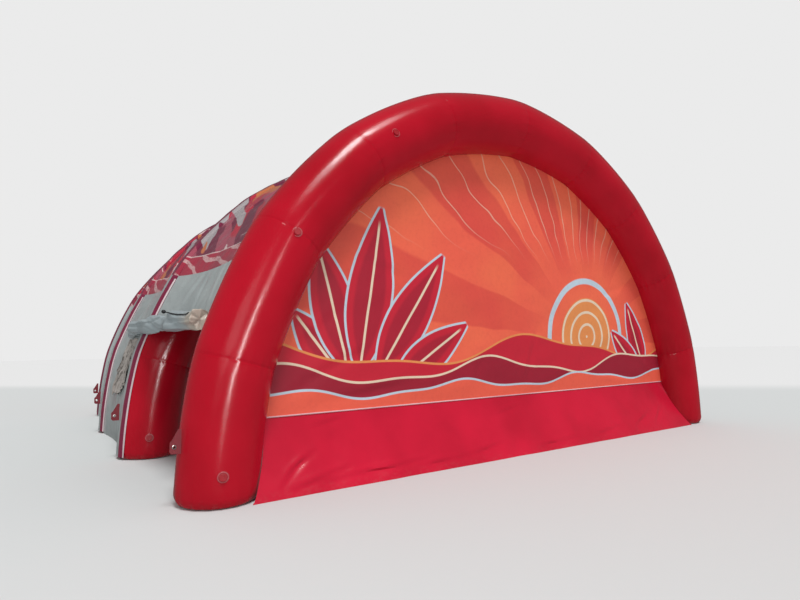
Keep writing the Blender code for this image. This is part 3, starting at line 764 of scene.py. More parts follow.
@dataclass
class Surface:
    """Points and faces of a piece in the making, with three numbers kept at each point."""

    points: np.ndarray
    faces: Faces
    told: np.ndarray | None = None

    @classmethod
    def grid(cls, points: np.ndarray, told: np.ndarray | None = None, closed: bool = False) -> "Surface":
        """Surface over rows of points.

        Args:
            points: array of rows, columns and three coordinates.
            told: numbers to keep at the points, in the same shape.
            closed: whether the last column joins the first.

        Returns:
            An open surface of quads.
        """
        rows, columns = points.shape[:2]
        index = np.arange(rows * columns).reshape(rows, columns)
        right = np.roll(index, -1, axis=1) if closed else index[:, 1:]
        left = index if closed else index[:, :-1]
        quads = np.stack([left[:-1], right[:-1], right[1:], left[1:]], -1).reshape(-1, 4)
        return cls(points.reshape(-1, 3), [quads], None if told is None else told.reshape(-1, 3))

    @classmethod
    def shell(cls, points: np.ndarray, thickness: float = CLOTH, told: np.ndarray | None = None) -> "Surface":
        """Closed cloth over rows of points, with its outer face away from the tent's long axis."""
        return cls.grid(points, told).thickened(thickness, points.reshape(-1, 3) * [1.0, 0.0, 1.0])

    @classmethod
    def bar(cls, rings: np.ndarray, path: np.ndarray, told: np.ndarray | None = None) -> "Surface":
        """Closed bar over rings of points round a path.

        Args:
            rings: array of rings, sides and three coordinates.
            path: the middle of each ring.
            told: numbers to keep at the points, in the rings' shape.

        Returns:
            A closed surface.
        """
        sides = rings.shape[1]
        surface = cls.grid(rings, told, closed=True).capped(len(path), sides)
        middle = np.concatenate([np.repeat(path, sides, axis=0), path[:1], path[-1:]])
        return surface.turned(surface.points - middle)

    def normals(self) -> np.ndarray:
        """Unit normals at the points."""
        total = np.zeros_like(self.points)
        for faces in self.faces:
            corner = self.points[faces]
            normal = np.cross(corner[:, 2] - corner[:, 0], corner[:, -1] - corner[:, 1])
            for k in range(faces.shape[1]):
                np.add.at(total, faces[:, k], normal)
        return total / np.maximum(np.linalg.norm(total, axis=1, keepdims=True), 1e-12)

    def turned(self, away: np.ndarray) -> "Surface":
        """The same surface, its faces turned to look the way that away points on the whole."""
        if float(np.sum(self.normals() * away)) < 0.0:
            self.faces = [faces[:, ::-1] for faces in self.faces]
        return self

    def rim(self) -> np.ndarray:
        """Directed edges that have a face on one side only."""
        pairs = [np.stack([faces, np.roll(faces, -1, axis=1)], -1).reshape(-1, 2) for faces in self.faces]
        edges = np.concatenate(pairs)
        count = len(self.points)
        return edges[~np.isin(edges[:, 0] * count + edges[:, 1], edges[:, 1] * count + edges[:, 0])]

    def thickened(self, thickness: float, away: np.ndarray) -> "Surface":
        """Closed cloth whose inner face is this surface.

        Args:
            thickness: how thick the cloth is.
            away: direction, or one for each point, that the outer face looks in.

        Returns:
            A closed surface.
        """
        self.turned(away)
        count = len(self.points)
        outer = self.points + self.normals() * thickness
        faces = [part + count for part in self.faces] + [part[:, ::-1] for part in self.faces]
        rim = self.rim()
        faces.append(np.stack([rim[:, 0], rim[:, 1], rim[:, 1] + count, rim[:, 0] + count], -1))
        told = None if self.told is None else np.concatenate([self.told, self.told])
        return Surface(np.concatenate([self.points, outer]), faces, told)

    def capped(self, rows: int, columns: int) -> "Surface":
        """Tube over rows of closed columns, with a flat fan at each end.

        Args:
            rows: number of rows of points.
            columns: number of points in a row.

        Returns:
            A closed surface.
        """
        middles = np.stack([self.points[:columns].mean(0), self.points[-columns:].mean(0)])
        count = len(self.points)
        first = np.arange(columns)
        last = first + (rows - 1) * columns
        near = np.stack([np.roll(first, -1), first, np.full(columns, count)], -1)
        far = np.stack([last, np.roll(last, -1), np.full(columns, count + 1)], -1)
        told = None
        if self.told is not None:
            told = np.concatenate([self.told, self.told[:1], self.told[-1:]])
        return Surface(np.concatenate([self.points, middles]), self.faces + [near, far], told)

    def grounded(self) -> "Surface":
        """The same surface with nothing of it under the ground."""
        self.points[:, 2] = np.maximum(self.points[:, 2], 0.0)
        return self

    def piece(self, name: str, finish: Finish, slot: str, node: str | None = None,
              sharp: float = 42.0) -> bpy.types.Object:
        """Make the piece.

        Args:
            name: name of the piece.
            finish: its finish.
            slot: material slot of the record that it belongs to; not used.
            node: the solid that it replaces, if there is one.
            sharp: angle in degrees over which an edge is drawn sharp.

        Returns:
            The piece.
        """
        mesh = bpy.data.meshes.new(name)
        mesh.from_pydata(self.points.tolist(), [], [face for part in self.faces for face in part.tolist()])
        if self.told is not None:
            mesh.attributes.new("place", "FLOAT_VECTOR", "POINT").data.foreach_set("vector", self.told.ravel())
        mesh.shade_smooth()
        mesh.set_sharp_from_angle(angle=radians(sharp))
        return dressed(name, mesh, finish, node)


def revolved(profile: tuple[tuple[float, float], ...], sides: int, place: Matrix) -> Surface:
    """Solid of revolution round the Z axis of a place.

    Args:
        profile: radius and height of each ring, from one end to the other.
        sides: number of sides.
        place: matrix that puts it in the tent.

    Returns:
        A closed surface.
    """
    turn = np.arange(sides) * tau / sides
    rings = np.array([[[r * cos(t), r * sin(t), h] for t in turn] for r, h in profile])
    matrix = np.array(place)
    rings = rings @ matrix[:3, :3].T + matrix[:3, 3]
    surface = Surface.grid(rings, closed=True).capped(len(profile), sides)
    return surface.turned(surface.points - surface.points.mean(0))


def hoop(profile: tuple[tuple[float, float], ...], sides: int, place: Matrix) -> Surface:
    """Ring round the Z axis of a place.

    Args:
        profile: radius and height of the corners of its section.
        sides: number of sides.
        place: matrix that puts it in the tent.

    Returns:
        A closed surface.
    """
    whole = revolved(profile + profile[:1], sides, place)
    points = whole.points[:-2]
    middle = points.reshape(-1, sides, 3).mean(0)
    return Surface(points, whole.faces[:1]).turned(points - np.tile(middle, (len(profile) + 1, 1)))


def swept(path: np.ndarray, radius: float | np.ndarray, sides: int = 8) -> Surface:
    """Bar along a path.

    Args:
        path: points of the centre line.
        radius: radius of the bar, or one for each point and side.
        sides: number of sides.

    Returns:
        A closed surface.
    """
    tangent = unit(np.gradient(path, axis=0))
    first = unit(np.cross(tangent, [0.0, 1.0, 0.0] if abs(tangent[:, 1]).max() < 0.9 else [0.0, 0.0, 1.0]))
    second = np.cross(tangent, first)
    turn = np.arange(sides) * tau / sides
    spokes = first[:, None] * np.cos(turn)[:, None] + second[:, None] * np.sin(turn)[:, None]
    return Surface.bar(path[:, None] + np.broadcast_to(radius, spokes.shape[:2])[..., None] * spokes, path)


@dataclass(frozen=True)
class Arch:
    """Centre line of one air tube: half an ellipse across the tent, a little straightened between its welds."""

    y: float
    half_width: float
    rise: float
    straightness: float = 0.35

    def ellipse(self, angle: np.ndarray) -> np.ndarray:
        """Points of the plain half ellipse at arch angles in degrees."""
        turn = np.radians(angle)
        return np.stack([-self.half_width * np.cos(turn), self.y + 0.0 * turn, self.rise * np.sin(turn)], -1)

    def centre(self, angle: np.ndarray) -> np.ndarray:
        """Points of the centre line.

        Args:
            angle: arch angles in degrees.

        Returns:
            Points, one for each angle.
        """
        angle = np.asarray(angle, float)
        part = np.clip(np.searchsorted(WELDS, angle, side="right") - 1, 0, len(WELDS) - 2)
        low, high = WELDS[part], WELDS[part + 1]
        share = ((angle - low) / (high - low))[..., None]
        near, far = self.ellipse(low), self.ellipse(high)
        bow = self.ellipse(0.5 * (low + high)) - 0.5 * (near + far)
        foot = np.minimum(1.0, np.minimum(angle, 180.0 - angle) / 17.0)[..., None]
        chord = near + (far - near) * share + bow * (0.6 * foot)
        return self.ellipse(angle) * (1.0 - self.straightness) + chord * self.straightness

    def outward(self, angle: np.ndarray) -> np.ndarray:
        """Unit vectors that point out of the tent, square to the centre line."""
        turn = np.radians(np.asarray(angle, float))
        way = np.stack([-np.cos(turn) / self.half_width, 0.0 * turn, np.sin(turn) / self.rise], -1)
        return unit(way)

    def weld_distance(self, angle: np.ndarray) -> np.ndarray:
        """Metres from the nearest weld along the centre line."""
        nearest = np.abs(np.asarray(angle, float)[..., None] - WELDS[1:-1]).min(-1)
        return np.radians(nearest) * 0.5 * (self.half_width + self.rise)

    def relief(self, angle: np.ndarray, tube: np.ndarray) -> np.ndarray:
        """Height of the welds, puckers and unevenness of the tube.

        Args:
            angle: arch angles in degrees.
            tube: tube angles in degrees, of the same shape.

        Returns:
            Heights over the plain tube in metres.
        """
        weld = self.weld_distance(angle)
        turn = np.radians(tube)
        number = np.searchsorted(WELDS, angle + 9.0) * 1.7 + self.y
        inner = (0.5 - 0.5 * np.sin(turn)) ** 1.5
        pucker = np.cos(23.0 * turn + 3.0 * number) + 0.6 * np.cos(37.0 * turn - 5.0 * number)
        height = self.ellipse(angle)[..., 2]
        foot = np.exp(-(height / 0.16) ** 2)
        length = np.radians(angle) * self.rise
        uneven = ripple(int(self.y * 10) + 90, 6, 2.2, length, np.cos(turn), np.sin(turn))
        groove = -0.003 * np.exp(-(weld / 0.012) ** 2) - 0.004 * np.exp(-(weld / 0.08) ** 2)
        return (groove + (0.0006 + 0.0050 * inner) * np.exp(-(weld / 0.10) ** 2) * pucker
                + 0.004 * foot * (np.cos(19.0 * turn + number) + 0.5 * np.cos(31.0 * turn)) + 0.0025 * uneven)

    def skin(self, angle: np.ndarray, tube: np.ndarray | float, offset: np.ndarray | float = 0.0) -> np.ndarray:
        """Points on the plain tube's surface or offset above it.

        Args:
            angle: arch angles in degrees.
            tube: tube angles in degrees.
            offset: height over the surface in metres.

        Returns:
            Points of the same shape as the angles.
        """
        angle, tube = np.broadcast_arrays(np.asarray(angle, float), np.asarray(tube, float))
        turn = np.radians(tube)
        ray = self.outward(angle) * np.sin(turn)[..., None]
        ray[..., 1] -= np.cos(turn)
        return self.centre(angle) + ray * (TUBE_RADIUS + np.broadcast_to(offset, angle.shape))[..., None]

    def ring_angles(self, step: float, near_welds: tuple[float, ...]) -> np.ndarray:
        """Arch angles that stand close together beside the welds.

        Args:
            step: distance of the rings elsewhere, in metres.
            near_welds: distances of the close rings from a weld.

        Returns:
            Sorted angles between the feet, without the feet's own.
        """
        degree = radians(1.0) * 0.5 * (self.half_width + self.rise)
        close = np.array(near_welds) / degree
        angles = [WELDS[1:-1]] + [WELDS[1:-1] + sign * way for way in close for sign in (-1.0, 1.0)]
        for low, high in zip(WELDS, WELDS[1:]):
            start, end = low + close[-1] + step / degree, high - close[-1] - step / degree
            angles.append(np.linspace(start, end, int((end - start) * degree / step) + 2))
        found = np.sort(np.concatenate(angles))
        return found[(found > 1.6) & (found < 178.4)]


FRONT_Y = -1.5 * BAY_LENGTH
ARCHES = (Arch(FRONT_Y, 4.56, 5.00), Arch(FRONT_Y + BAY_LENGTH, 4.68, 4.90), Arch(FRONT_Y + 2 * BAY_LENGTH, 4.61, 4.90),
          Arch(FRONT_Y + 3 * BAY_LENGTH, 4.34, 4.90))
ARCH_NAMES = ("front", "second", "third", "rear")


@dataclass
class AirTubes:
    """The four air-filled arches."""

    sides: int = 96
    step: float = 0.08
    near_welds: tuple[float, ...] = (0.006, 0.013, 0.024, 0.040, 0.062, 0.090, 0.125)
    foot_angles: tuple[float, ...] = (0.0, 0.05, 0.13, 0.25, 0.42, 0.65, 0.95, 1.3)

    def foot_share(self, height: np.ndarray) -> np.ndarray:
        """Share of the tube's radius at a height over the ground, on the rounded foot."""
        lift = np.clip(1.0 - height / 0.12, 0.0, 1.0)
        return 0.80 + 0.20 * np.sqrt(1.0 - lift ** 2)

    def build(self) -> None:
        """Sweep each tube along its arch and close it at the feet."""
        feet = np.array(self.foot_angles)
        for arch, name in zip(ARCHES, ARCH_NAMES):
            angles = np.concatenate([feet, arch.ring_angles(self.step, self.near_welds), 180.0 - feet[::-1]])
            angle, tube = np.meshgrid(angles, np.arange(self.sides) * 360.0 / self.sides, indexing="ij")
            height = arch.centre(angle)[..., 2]
            share = self.foot_share(height)
            relief = arch.relief(angle, tube) * np.clip(height / 0.03, 0.0, 1.0)
            points = arch.skin(angle, tube, TUBE_RADIUS * (share - 1.0) + relief)
            points[..., 2] = np.maximum(points[..., 2], 0.0)
            told = np.stack([arch.weld_distance(angle), angle, 0.0 * angle], -1)
            surface = Surface.bar(points, arch.centre(angles), told)
            surface.piece("tube_" + name, Finish.PVC, "red_pvc", "arch_" + name)


@dataclass
class Canopy:
    """Roof and side cloths of the three bays, the strip beside the doorway, and the piping on two seams."""

    sag: float = 0.085
    sag_unevenness: float = 0.014
    row_step: float = 0.045
    column_step: float = 0.04
    piping: float = 0.009
    border_gap: float = 0.01
    lap: float = 72.0
    near_seams: tuple[float, ...] = (141.0, 122.0, 122.0)
    far_seams: tuple[float, ...] = (58.0, 58.0, REAR_SEAM)
    roof_creases: dict[int, tuple[Crease, ...]] = field(default_factory=lambda: {
        0: (Crease((0.3, 0.3), (2.2, 1.6), 0.022, 0.06, 0.08), Crease((0.9, 2.5), (2.6, 1.3), 0.018, 0.05, -0.06),
            Crease((2.4, 0.2), (4.1, 1.9), 0.020, 0.07, 0.10), Crease((3.4, 2.5), (4.9, 1.4), 0.016, 0.05, -0.05),
            Crease((0.4, 1.2), (1.6, 2.4), 0.014, 0.04), Crease((1.5, 0.3), (2.9, 0.9), 0.014, 0.04, 0.05),
            Crease((5.4, 0.3), (6.6, 1.8), 0.018, 0.06), Crease((6.8, 2.4), (8.3, 1.2), 0.018, 0.06),
            Crease((8.2, 0.3), (9.7, 1.5), 0.020, 0.06), Crease((3.0, 1.5), (3.9, 2.5), 0.014, 0.04)),
        1: (Crease((0.3, 2.4), (2.0, 1.0), 0.020, 0.06, 0.06), Crease((1.2, 0.3), (2.9, 1.6), 0.018, 0.06, -0.05),
            Crease((2.9, 2.5), (4.6, 1.2), 0.018, 0.06), Crease((5.2, 0.3), (6.9, 1.7), 0.018, 0.06),
            Crease((7.2, 2.5), (8.8, 1.1), 0.020, 0.06), Crease((8.6, 0.3), (9.9, 1.4), 0.016, 0.05)),
        2: (Crease((0.3, 0.4), (1.9, 1.7), 0.018, 0.06), Crease((2.4, 2.3), (4.0, 1.0), 0.018, 0.06),
            Crease((4.6, 0.3), (6.1, 1.5), 0.018, 0.06), Crease((6.6, 2.4), (8.1, 1.1), 0.018, 0.06),
            Crease((8.2, 0.3), (9.6, 1.6), 0.018, 0.06)),
    })
    side_creases: tuple[Crease, ...] = (
        Crease((0.1, 0.5), (1.5, 0.9), 0.014, 0.05, 0.04), Crease((0.2, 1.9), (1.9, 1.3), 0.016, 0.06, -0.04),
        Crease((0.9, 0.2), (2.4, 0.6), 0.012, 0.05), Crease((1.4, 2.5), (2.6, 1.9), 0.014, 0.05),
        Crease((0.1, 1.2), (1.0, 1.4), 0.012, 0.04),
    )

    def seams(self, bay: int) -> tuple[tuple[Arch, float], tuple[Arch, float]]:
        """The arch and tube angle that hold the near and the far edge of a bay's cloth."""
        return (ARCHES[bay], self.near_seams[bay]), (ARCHES[bay + 1], self.far_seams[bay])

    def surface(self, bay: int, angle: np.ndarray, across: np.ndarray, relief: np.ndarray | float = 0.0) -> np.ndarray:
        """Points on the inner face of a bay's cloth.

        Args:
            bay: number of the bay, 0 at the front.
            angle: arch angles in degrees.
            across: share of the way from the near seam to the far one.
            relief: height of creases over the plain sagging cloth.

        Returns:
            Points of the same shape as the angles.
        """
        (near_arch, near_seam), (far_arch, far_seam) = self.seams(bay)
        near, far = near_arch.skin(angle, near_seam, SEAT_GAP), far_arch.skin(angle, far_seam, SEAT_GAP)
        share = across[..., None]
        out = near_arch.outward(angle) * (1.0 - share) + far_arch.outward(angle) * share
        station = np.interp(angle, STATIONS, np.arange(len(STATIONS)))
        uneven = self.sag_unevenness * np.sin(1.7 * station + 2.0 * across)
        sag = 4.0 * across * (1.0 - across) * (self.sag + uneven)
        return near + (far - near) * share + out * (relief - sag)[..., None]

    def cloth(self, bay: int, low: float, high: float, creases: tuple[Crease, ...], seed: int,
              reach: float = 1.0) -> Surface:
        """Cloth of a bay between two arch angles.

        Args:
            bay: number of the bay.
            low: arch angle of one end, in degrees.
            high: arch angle of the other end.
            creases: creases, in metres from the low end and from the near seam.
            seed: number that chooses the small unevenness.
            reach: share of the bay's width that the cloth covers.

        Returns:
            A closed cloth that tells the metres from the nearer end, its y, and the metres from the low end.
        """
        length, width = self.cut(bay, low, high, reach)
        angles = np.linspace(low, high, max(3, int(length / self.row_step)) + 1)
        shares = np.linspace(0.0, reach, max(3, int(width / self.column_step)) + 1)
        angle, across = np.meshgrid(angles, shares, indexing="ij")
        u = (angle - low) / (high - low) * length
        v = across / reach * width
        points = self.surface(bay, angle, across, self.folds(u, v, length, width, creases, seed))
        told = np.stack([np.minimum(u, length - u), points[..., 1], u], -1)
        if bay == 2:
            points, told = self.lapped(angles, points, told)
        return Surface.shell(points, told=told)

    def lapped(self, angles: np.ndarray, points: np.ndarray, told: np.ndarray) -> tuple[np.ndarray, np.ndarray]:
        """Carry the last bay's cloth on over the outer side of the rear arch.

        Args:
            angles: arch angles of the cloth's rows.
            points: its points up to the seam.
            told: what they tell.

        Returns:
            The points and numbers with the lap's columns added.
        """
        angle, tube = np.meshgrid(angles, np.linspace(REAR_SEAM, self.lap, 12)[1:], indexing="ij")
        more = ARCHES[3].skin(angle, tube, ARCHES[3].relief(angle, tube) + LAP_LIFT)
        extra = np.repeat(told[:, -1:], more.shape[1], axis=1)
        extra[..., 1] = more[..., 1]
        return np.concatenate([points, more], 1), np.concatenate([told, extra], 1)

    def cut(self, bay: int, low: float, high: float, reach: float = 1.0) -> tuple[float, float]:
        """Flat length and width of a cloth between two arch angles, over a share of its bay's width."""
        near, far = (arch.skin(0.5 * (low + high), seam) for arch, seam in self.seams(bay))
        return radians(high - low) * ARCH_RUN, float(far[1] - near[1]) * reach

    def folds(self, u: np.ndarray, v: np.ndarray, length: float, width: float, creases: tuple[Crease, ...],
              seed: int) -> np.ndarray:
        """Height of a cloth's creases and unevenness over its plain sagging form.

        Args:
            u: metres from the low end.
            v: metres from the near seam.
            length: flat length of the cloth.
            width: flat width of the cloth.
            creases: the creases placed on it.
            seed: number that chooses the small unevenness.

        Returns:
            Heights in metres, zero along the edges.
        """
        aside = np.minimum(v, width - v)
        inset = np.minimum(np.minimum(u, length - u), aside)
        relief = creased(creases, u, v) + 0.006 * ripple(seed, 7, 7.0, u, v) + 0.003 * ripple(seed + 1, 6, 19.0, u, v)
        relief = relief * np.clip(inset / 0.16, 0.0, 1.0) ** 1.2
        near_seam = np.clip(aside / 0.30, 0.0, 1.0)
        gathers = 0.007 * np.sin(pi * near_seam) * (1.0 - near_seam) * np.sin(26.0 * u + 2.0 * np.sin(3.0 * u + seed))
        return relief + gathers * np.clip(np.minimum(u, length - u) / 0.2, 0.0, 1.0)

    def side_relief(self, bay: int, angle: np.ndarray, across: np.ndarray) -> np.ndarray:
        """Height of the folds of a bay's left side cloth at arch angles and shares of its width."""
        high = BORDER_ANGLE - self.border_gap
        length, width = self.cut(bay, 0.0, high)
        return self.folds(angle / high * length, across * width, length, width, self.side_creases, bay + 10)

    def build(self) -> None:
        """Build the roofs, the sides, the strip at the doorway and the piping."""
        gap = self.border_gap
        for bay in range(3):
            number = str(bay + 1)
            roof = self.cloth(bay, BORDER_ANGLE, 180.0 - BORDER_ANGLE, self.roof_creases[bay], bay)
            piece = roof.piece("roof_cloth_" + number, Finish.ROOF, "canopy_print_cloth", "roof_bay_" + number)
            foot = DOOR_HEAD_ANGLE if bay == 0 else 0.0
            for side, low, high, start, seed in (
                    ("left", foot, BORDER_ANGLE - gap, foot, bay + 10),
                    ("right", 180.0 - BORDER_ANGLE + gap, 180.0, 0.0, bay + 20)):
                surface = self.cloth(bay, low, high, self.side_creases, seed).grounded()
                piece = surface.piece(f"side_cloth_{side}_{number}", Finish.SILVER, "silver_grey_cloth",
                                      f"side_{side}_{number}")
        jamb = self.cloth(0, 0.0, DOOR_HEAD_ANGLE - gap, (), 40, 0.16 / BAY_LENGTH)
        piece = jamb.piece("door_jamb_strip", Finish.SILVER, "silver_grey_cloth", "door_jamb")
        self.build_piping()

    def build_piping(self) -> None:
        """Lay a thin pale cord on the seams of the front and the rear arch."""
        angles = np.linspace(0.3, 179.7, 420)
        for arch, tube, name in ((ARCHES[0], 139.4, "front"), (ARCHES[3], 40.6, "rear")):
            path = arch.skin(angles, tube, 0.4 * self.piping)
            path[:, 2] = np.maximum(path[:, 2], self.piping)
            swept(path, self.piping).piece("seam_piping_" + name, Finish.PIPING, "canopy_print_cloth")


@dataclass
class CoverBands:
    """Bands over the second and third arch with white strips on their front edge, and the rear arch's binding."""

    low: float = 58.5
    high: float = 121.5
    columns: int = 26
    strip_width: float = 4.8
    strip_thickness: float = 0.0015
    strip_lift: float = 0.0034
    bound: tuple[float, float] = (70.5, 88.5)

    def angles(self, arch: Arch) -> np.ndarray:
        """Arch angles of a band's rows, which stand close together beside the welds."""
        return np.concatenate([[0.4, 0.9], arch.ring_angles(0.06, (0.01, 0.022, 0.04, 0.07)), [179.1, 179.6]])

    def build(self) -> None:
        """Build the bands, strips and binding."""
        for arch, name in zip(ARCHES[1:3], ARCH_NAMES[1:3]):
            angles = self.angles(arch)
            angle, tube = np.meshgrid(angles, np.linspace(self.low, self.high, self.columns), indexing="ij")
            length = np.radians(angle) * ARCH_RUN
            width = np.radians(tube) * TUBE_RADIUS
            loose = 0.5 + 0.5 * ripple(int(arch.y * 7) + 60, 7, 16.0, length, width)
            inset = np.clip(np.minimum(tube - self.low, self.high - tube) / 6.0, 0.0, 1.0)
            lift = arch.relief(angle, tube) + SEAT_GAP + 0.0012 + 0.005 * np.clip(loose, 0.0, 1.4) * inset
            points = arch.skin(angle, tube, lift)
            told = np.stack([tube, points[..., 1], np.radians(angle - BORDER_ANGLE) * ARCH_RUN], -1)
            band = Surface.shell(points, CLOTH - 0.0005, told)
            piece = band.piece("band_" + name, Finish.BAND, "dark_crimson_band", "cover_band_" + name)
            for side, part in (("left", angles[angles < BORDER_ANGLE]), ("right", angles[angles > 180 - BORDER_ANGLE])):
                angle, tube = np.meshgrid(part, np.linspace(self.low, self.low + self.strip_width, 5), indexing="ij")
                points = arch.skin(angle, tube, arch.relief(angle, tube) + CLOTH + self.strip_lift)
                strip = Surface.shell(points, self.strip_thickness)
                strip.piece(f"white_strip_{name}_{side}", Finish.WHITE, "dark_crimson_band")
        self.binding(ARCHES[3])

    def binding(self, arch: Arch) -> None:
        """Lay a narrow dark binding on the edge of the cloth that laps over the rear arch."""
        angle, tube = np.meshgrid(self.angles(arch), np.linspace(*self.bound, 9), indexing="ij")
        over_lap = np.clip((self.bound[0] + 4.0 - tube) / 2.0, 0.0, 1.0)
        points = arch.skin(angle, tube, arch.relief(angle, tube) + LAP_LIFT + 0.0036 * over_lap)
        piece = Surface.shell(points, CLOTH - 0.001).piece("rear_edge_binding", Finish.BINDING, "dark_crimson_band")


@dataclass
class EndWalls:
    """The printed front wall, the plain rear wall, and a skirt with a seam above it on each."""

    rings: int = 62
    columns: int = 204
    crown: float = 0.05
    seam: float = 0.009
    spread: float = 0.425
    corner_cut: float = 0.12
    creases: tuple[Crease, ...] = (
        Crease((-3.9, 0.95), (-2.6, 1.6), 0.016, 0.05, 0.05), Crease((-3.95, 1.3), (-3.0, 2.1), 0.014, 0.05, 0.04),
        Crease((-3.6, 0.88), (-1.9, 1.15), 0.012, 0.05), Crease((3.9, 0.95), (2.9, 1.7), 0.014, 0.05, -0.05),
        Crease((3.6, 0.88), (2.0, 1.12), 0.012, 0.05), Crease((-3.2, 2.9), (-2.0, 2.5), 0.012, 0.05),
        Crease((3.3, 2.8), (2.1, 2.4), 0.012, 0.05), Crease((-1.6, 4.1), (-0.9, 3.1), 0.012, 0.06, 0.05),
        Crease((1.5, 4.15), (0.9, 3.2), 0.012, 0.06, -0.05), Crease((0.2, 0.9), (0.5, 1.9), 0.010, 0.06),
        Crease((-0.9, 0.9), (-0.6, 1.7), 0.010, 0.05), Crease((1.8, 0.9), (1.6, 1.6), 0.010, 0.05),
    )
    skirt_creases: tuple[Crease, ...] = (
        Crease((-4.02, 0.05), (-3.45, 0.42), 0.034, 0.030, 0.03), Crease((-3.98, 0.03), (-3.05, 0.20), 0.030, 0.026),
        Crease((-3.75, 0.04), (-2.50, 0.12), 0.022, 0.024, 0.02), Crease((-3.55, 0.66), (-2.95, 0.75), 0.012, 0.022),
        Crease((-3.90, 0.20), (-3.60, 0.34), 0.020, 0.020, 0.02), Crease((-2.95, 0.09), (-1.90, 0.15), 0.020, 0.024),
        Crease((-2.20, 0.07), (-1.20, 0.11), 0.018, 0.022), Crease((-1.30, 0.10), (-0.50, 0.20), 0.016, 0.024),
        Crease((0.00, 0.06), (1.10, 0.12), 0.018, 0.022), Crease((1.40, 0.08), (2.30, 0.18), 0.016, 0.024),
        Crease((2.60, 0.10), (3.30, 0.34), 0.020, 0.026), Crease((3.20, 0.08), (3.85, 0.48), 0.020, 0.028),
        Crease((-0.60, 0.55), (0.10, 0.68), 0.008, 0.022),
    )

    def panel(self, arch: Arch, facing: float) -> Surface:
        """Wall cloth, in rings round the middle of its lower edge.

        Args:
            arch: the arch that holds it.
            facing: -1 for the front wall and 1 for the rear one.

        Returns:
            A closed cloth.
        """
        edge = arch.skin(np.linspace(0.0, 180.0, 1441), 270.0, SEAT_GAP)
        edge = edge[edge[:, 2] > SKIRT_HEIGHT]
        half = float(np.interp(SKIRT_HEIGHT, edge[:len(edge) // 2, 2], -edge[:len(edge) // 2, 0]))
        ends = [[[-half, arch.y, SKIRT_HEIGHT]], edge, [[half, arch.y, SKIRT_HEIGHT]]]
        edge = evened(np.concatenate(ends), self.columns + 1)
        middle = np.array([0.0, arch.y, SKIRT_HEIGHT])
        shares = np.linspace(0.0, 1.0, self.rings + 1)[1:]
        points = middle + (edge - middle)[None] * shares[:, None, None]
        u, v = points[..., 0], points[..., 2]
        top = float(edge[:, 2].max())
        rise = np.clip((v - SKIRT_HEIGHT) / (top - SKIRT_HEIGHT), 0.0, 1.0)
        reach = np.interp(v, edge[:self.columns // 2, 2], -edge[:self.columns // 2, 0])
        along = np.clip(np.abs(u) / np.maximum(reach, 0.05), 0.0, 1.0)
        inset = np.clip(np.minimum((1.0 - shares[:, None]) * 4.0, (v - SKIRT_HEIGHT) * 2.0) / 0.35, 0.0, 1.0)
        relief = self.crown * (1.0 - along ** 2) * 4.0 * rise * (1.0 - rise)
        folds = creased(self.creases, u, v) + 0.006 * ripple(5, 7, 4.0, u, v) + 0.003 * ripple(6, 6, 13.0, u, v)
        points[..., 1] = arch.y + facing * (relief + folds * inset)
        grid = Surface.grid(points)
        first = np.arange(self.columns)
        fan = np.stack([first + 1, first, np.full(self.columns, len(grid.points))], -1)
        surface = Surface(np.concatenate([grid.points, middle[None]]), grid.faces + [fan])
        return surface.thickened(CLOTH, np.array([0.0, facing, 0.0]))

    def skirt(self, arch: Arch, facing: float) -> Surface:
        """Strip from the seam to the ground, with soft folds that deepen downwards.

        Args:
            arch: the arch that it stands in.
            facing: -1 for the front and 1 for the rear.

        Returns:
            A closed cloth.
        """
        share, along = np.meshgrid(np.linspace(0.0, 1.0, 30), np.linspace(-1.0, 1.0, 321), indexing="ij")
        height = (SKIRT_HEIGHT - 0.0015) * (1.0 - share)
        reach = self.spread * (0.62 * share + 0.38 * share ** 2)
        table = np.linspace(0.0, 14.0, 200)
        line = arch.centre(table)
        angle = np.interp(height, line[:, 2], table)
        tube = TUBE_RADIUS / np.abs(arch.outward(angle)[..., 0])
        half = -arch.centre(angle)[..., 0] - tube * np.sqrt(1.0 - (reach / TUBE_RADIUS) ** 2) - 0.006
        half = half - self.corner_cut * share ** 8
        x = half * along
        fold = np.sin(17.0 * along) + 0.7 * np.sin(29.0 * along + 1.0) + 0.6 * np.cos(43.0 * along)
        fine = ripple(int(arch.y) + 30, 7, 11.0, x, height * 0.5) * 0.006 * share
        depth = 0.014 * share * (1.0 - along ** 8)
        folds = fine + creased(self.skirt_creases, x, height)
        loose = folds * (1.0 - along ** 8) * np.clip((1.0 - share) * 12.0, 0.0, 1.0)
        forward = reach - CLOTH + depth * (0.25 * fold - 0.5) + loose
        points = np.stack([x, arch.y + facing * forward, height], -1)
        return Surface.grid(points).thickened(CLOTH, np.array([0.0, facing, 0.3]))

    def build(self) -> None:
        """Build the two walls, skirts and seams."""
        for name, arch, facing, finish, slot in (("front", ARCHES[0], -1.0, Finish.WALL, "salmon_print_cloth"),
                                                 ("rear", ARCHES[3], 1.0, Finish.PLAIN, "plain_orange_cloth")):
            panel = self.panel(arch, facing)
            piece = panel.piece(name + "_wall_cloth", finish, slot, name + "_panel")
            skirt = self.skirt(arch, facing).grounded()
            piece = skirt.piece(name + "_skirt_cloth", Finish.SKIRT, "crimson_skirt_cloth", name + "_skirt")
            half = float(panel.points[:, 0].max()) - 0.01
            x = np.linspace(-half, half, 160)
            seam = np.stack([x, np.full_like(x, arch.y + facing * (CLOTH + 0.002)), np.full_like(x, SKIRT_HEIGHT)], -1)
            swept(seam, self.seam).piece(name + "_wall_seam", Finish.PIPING, slot)


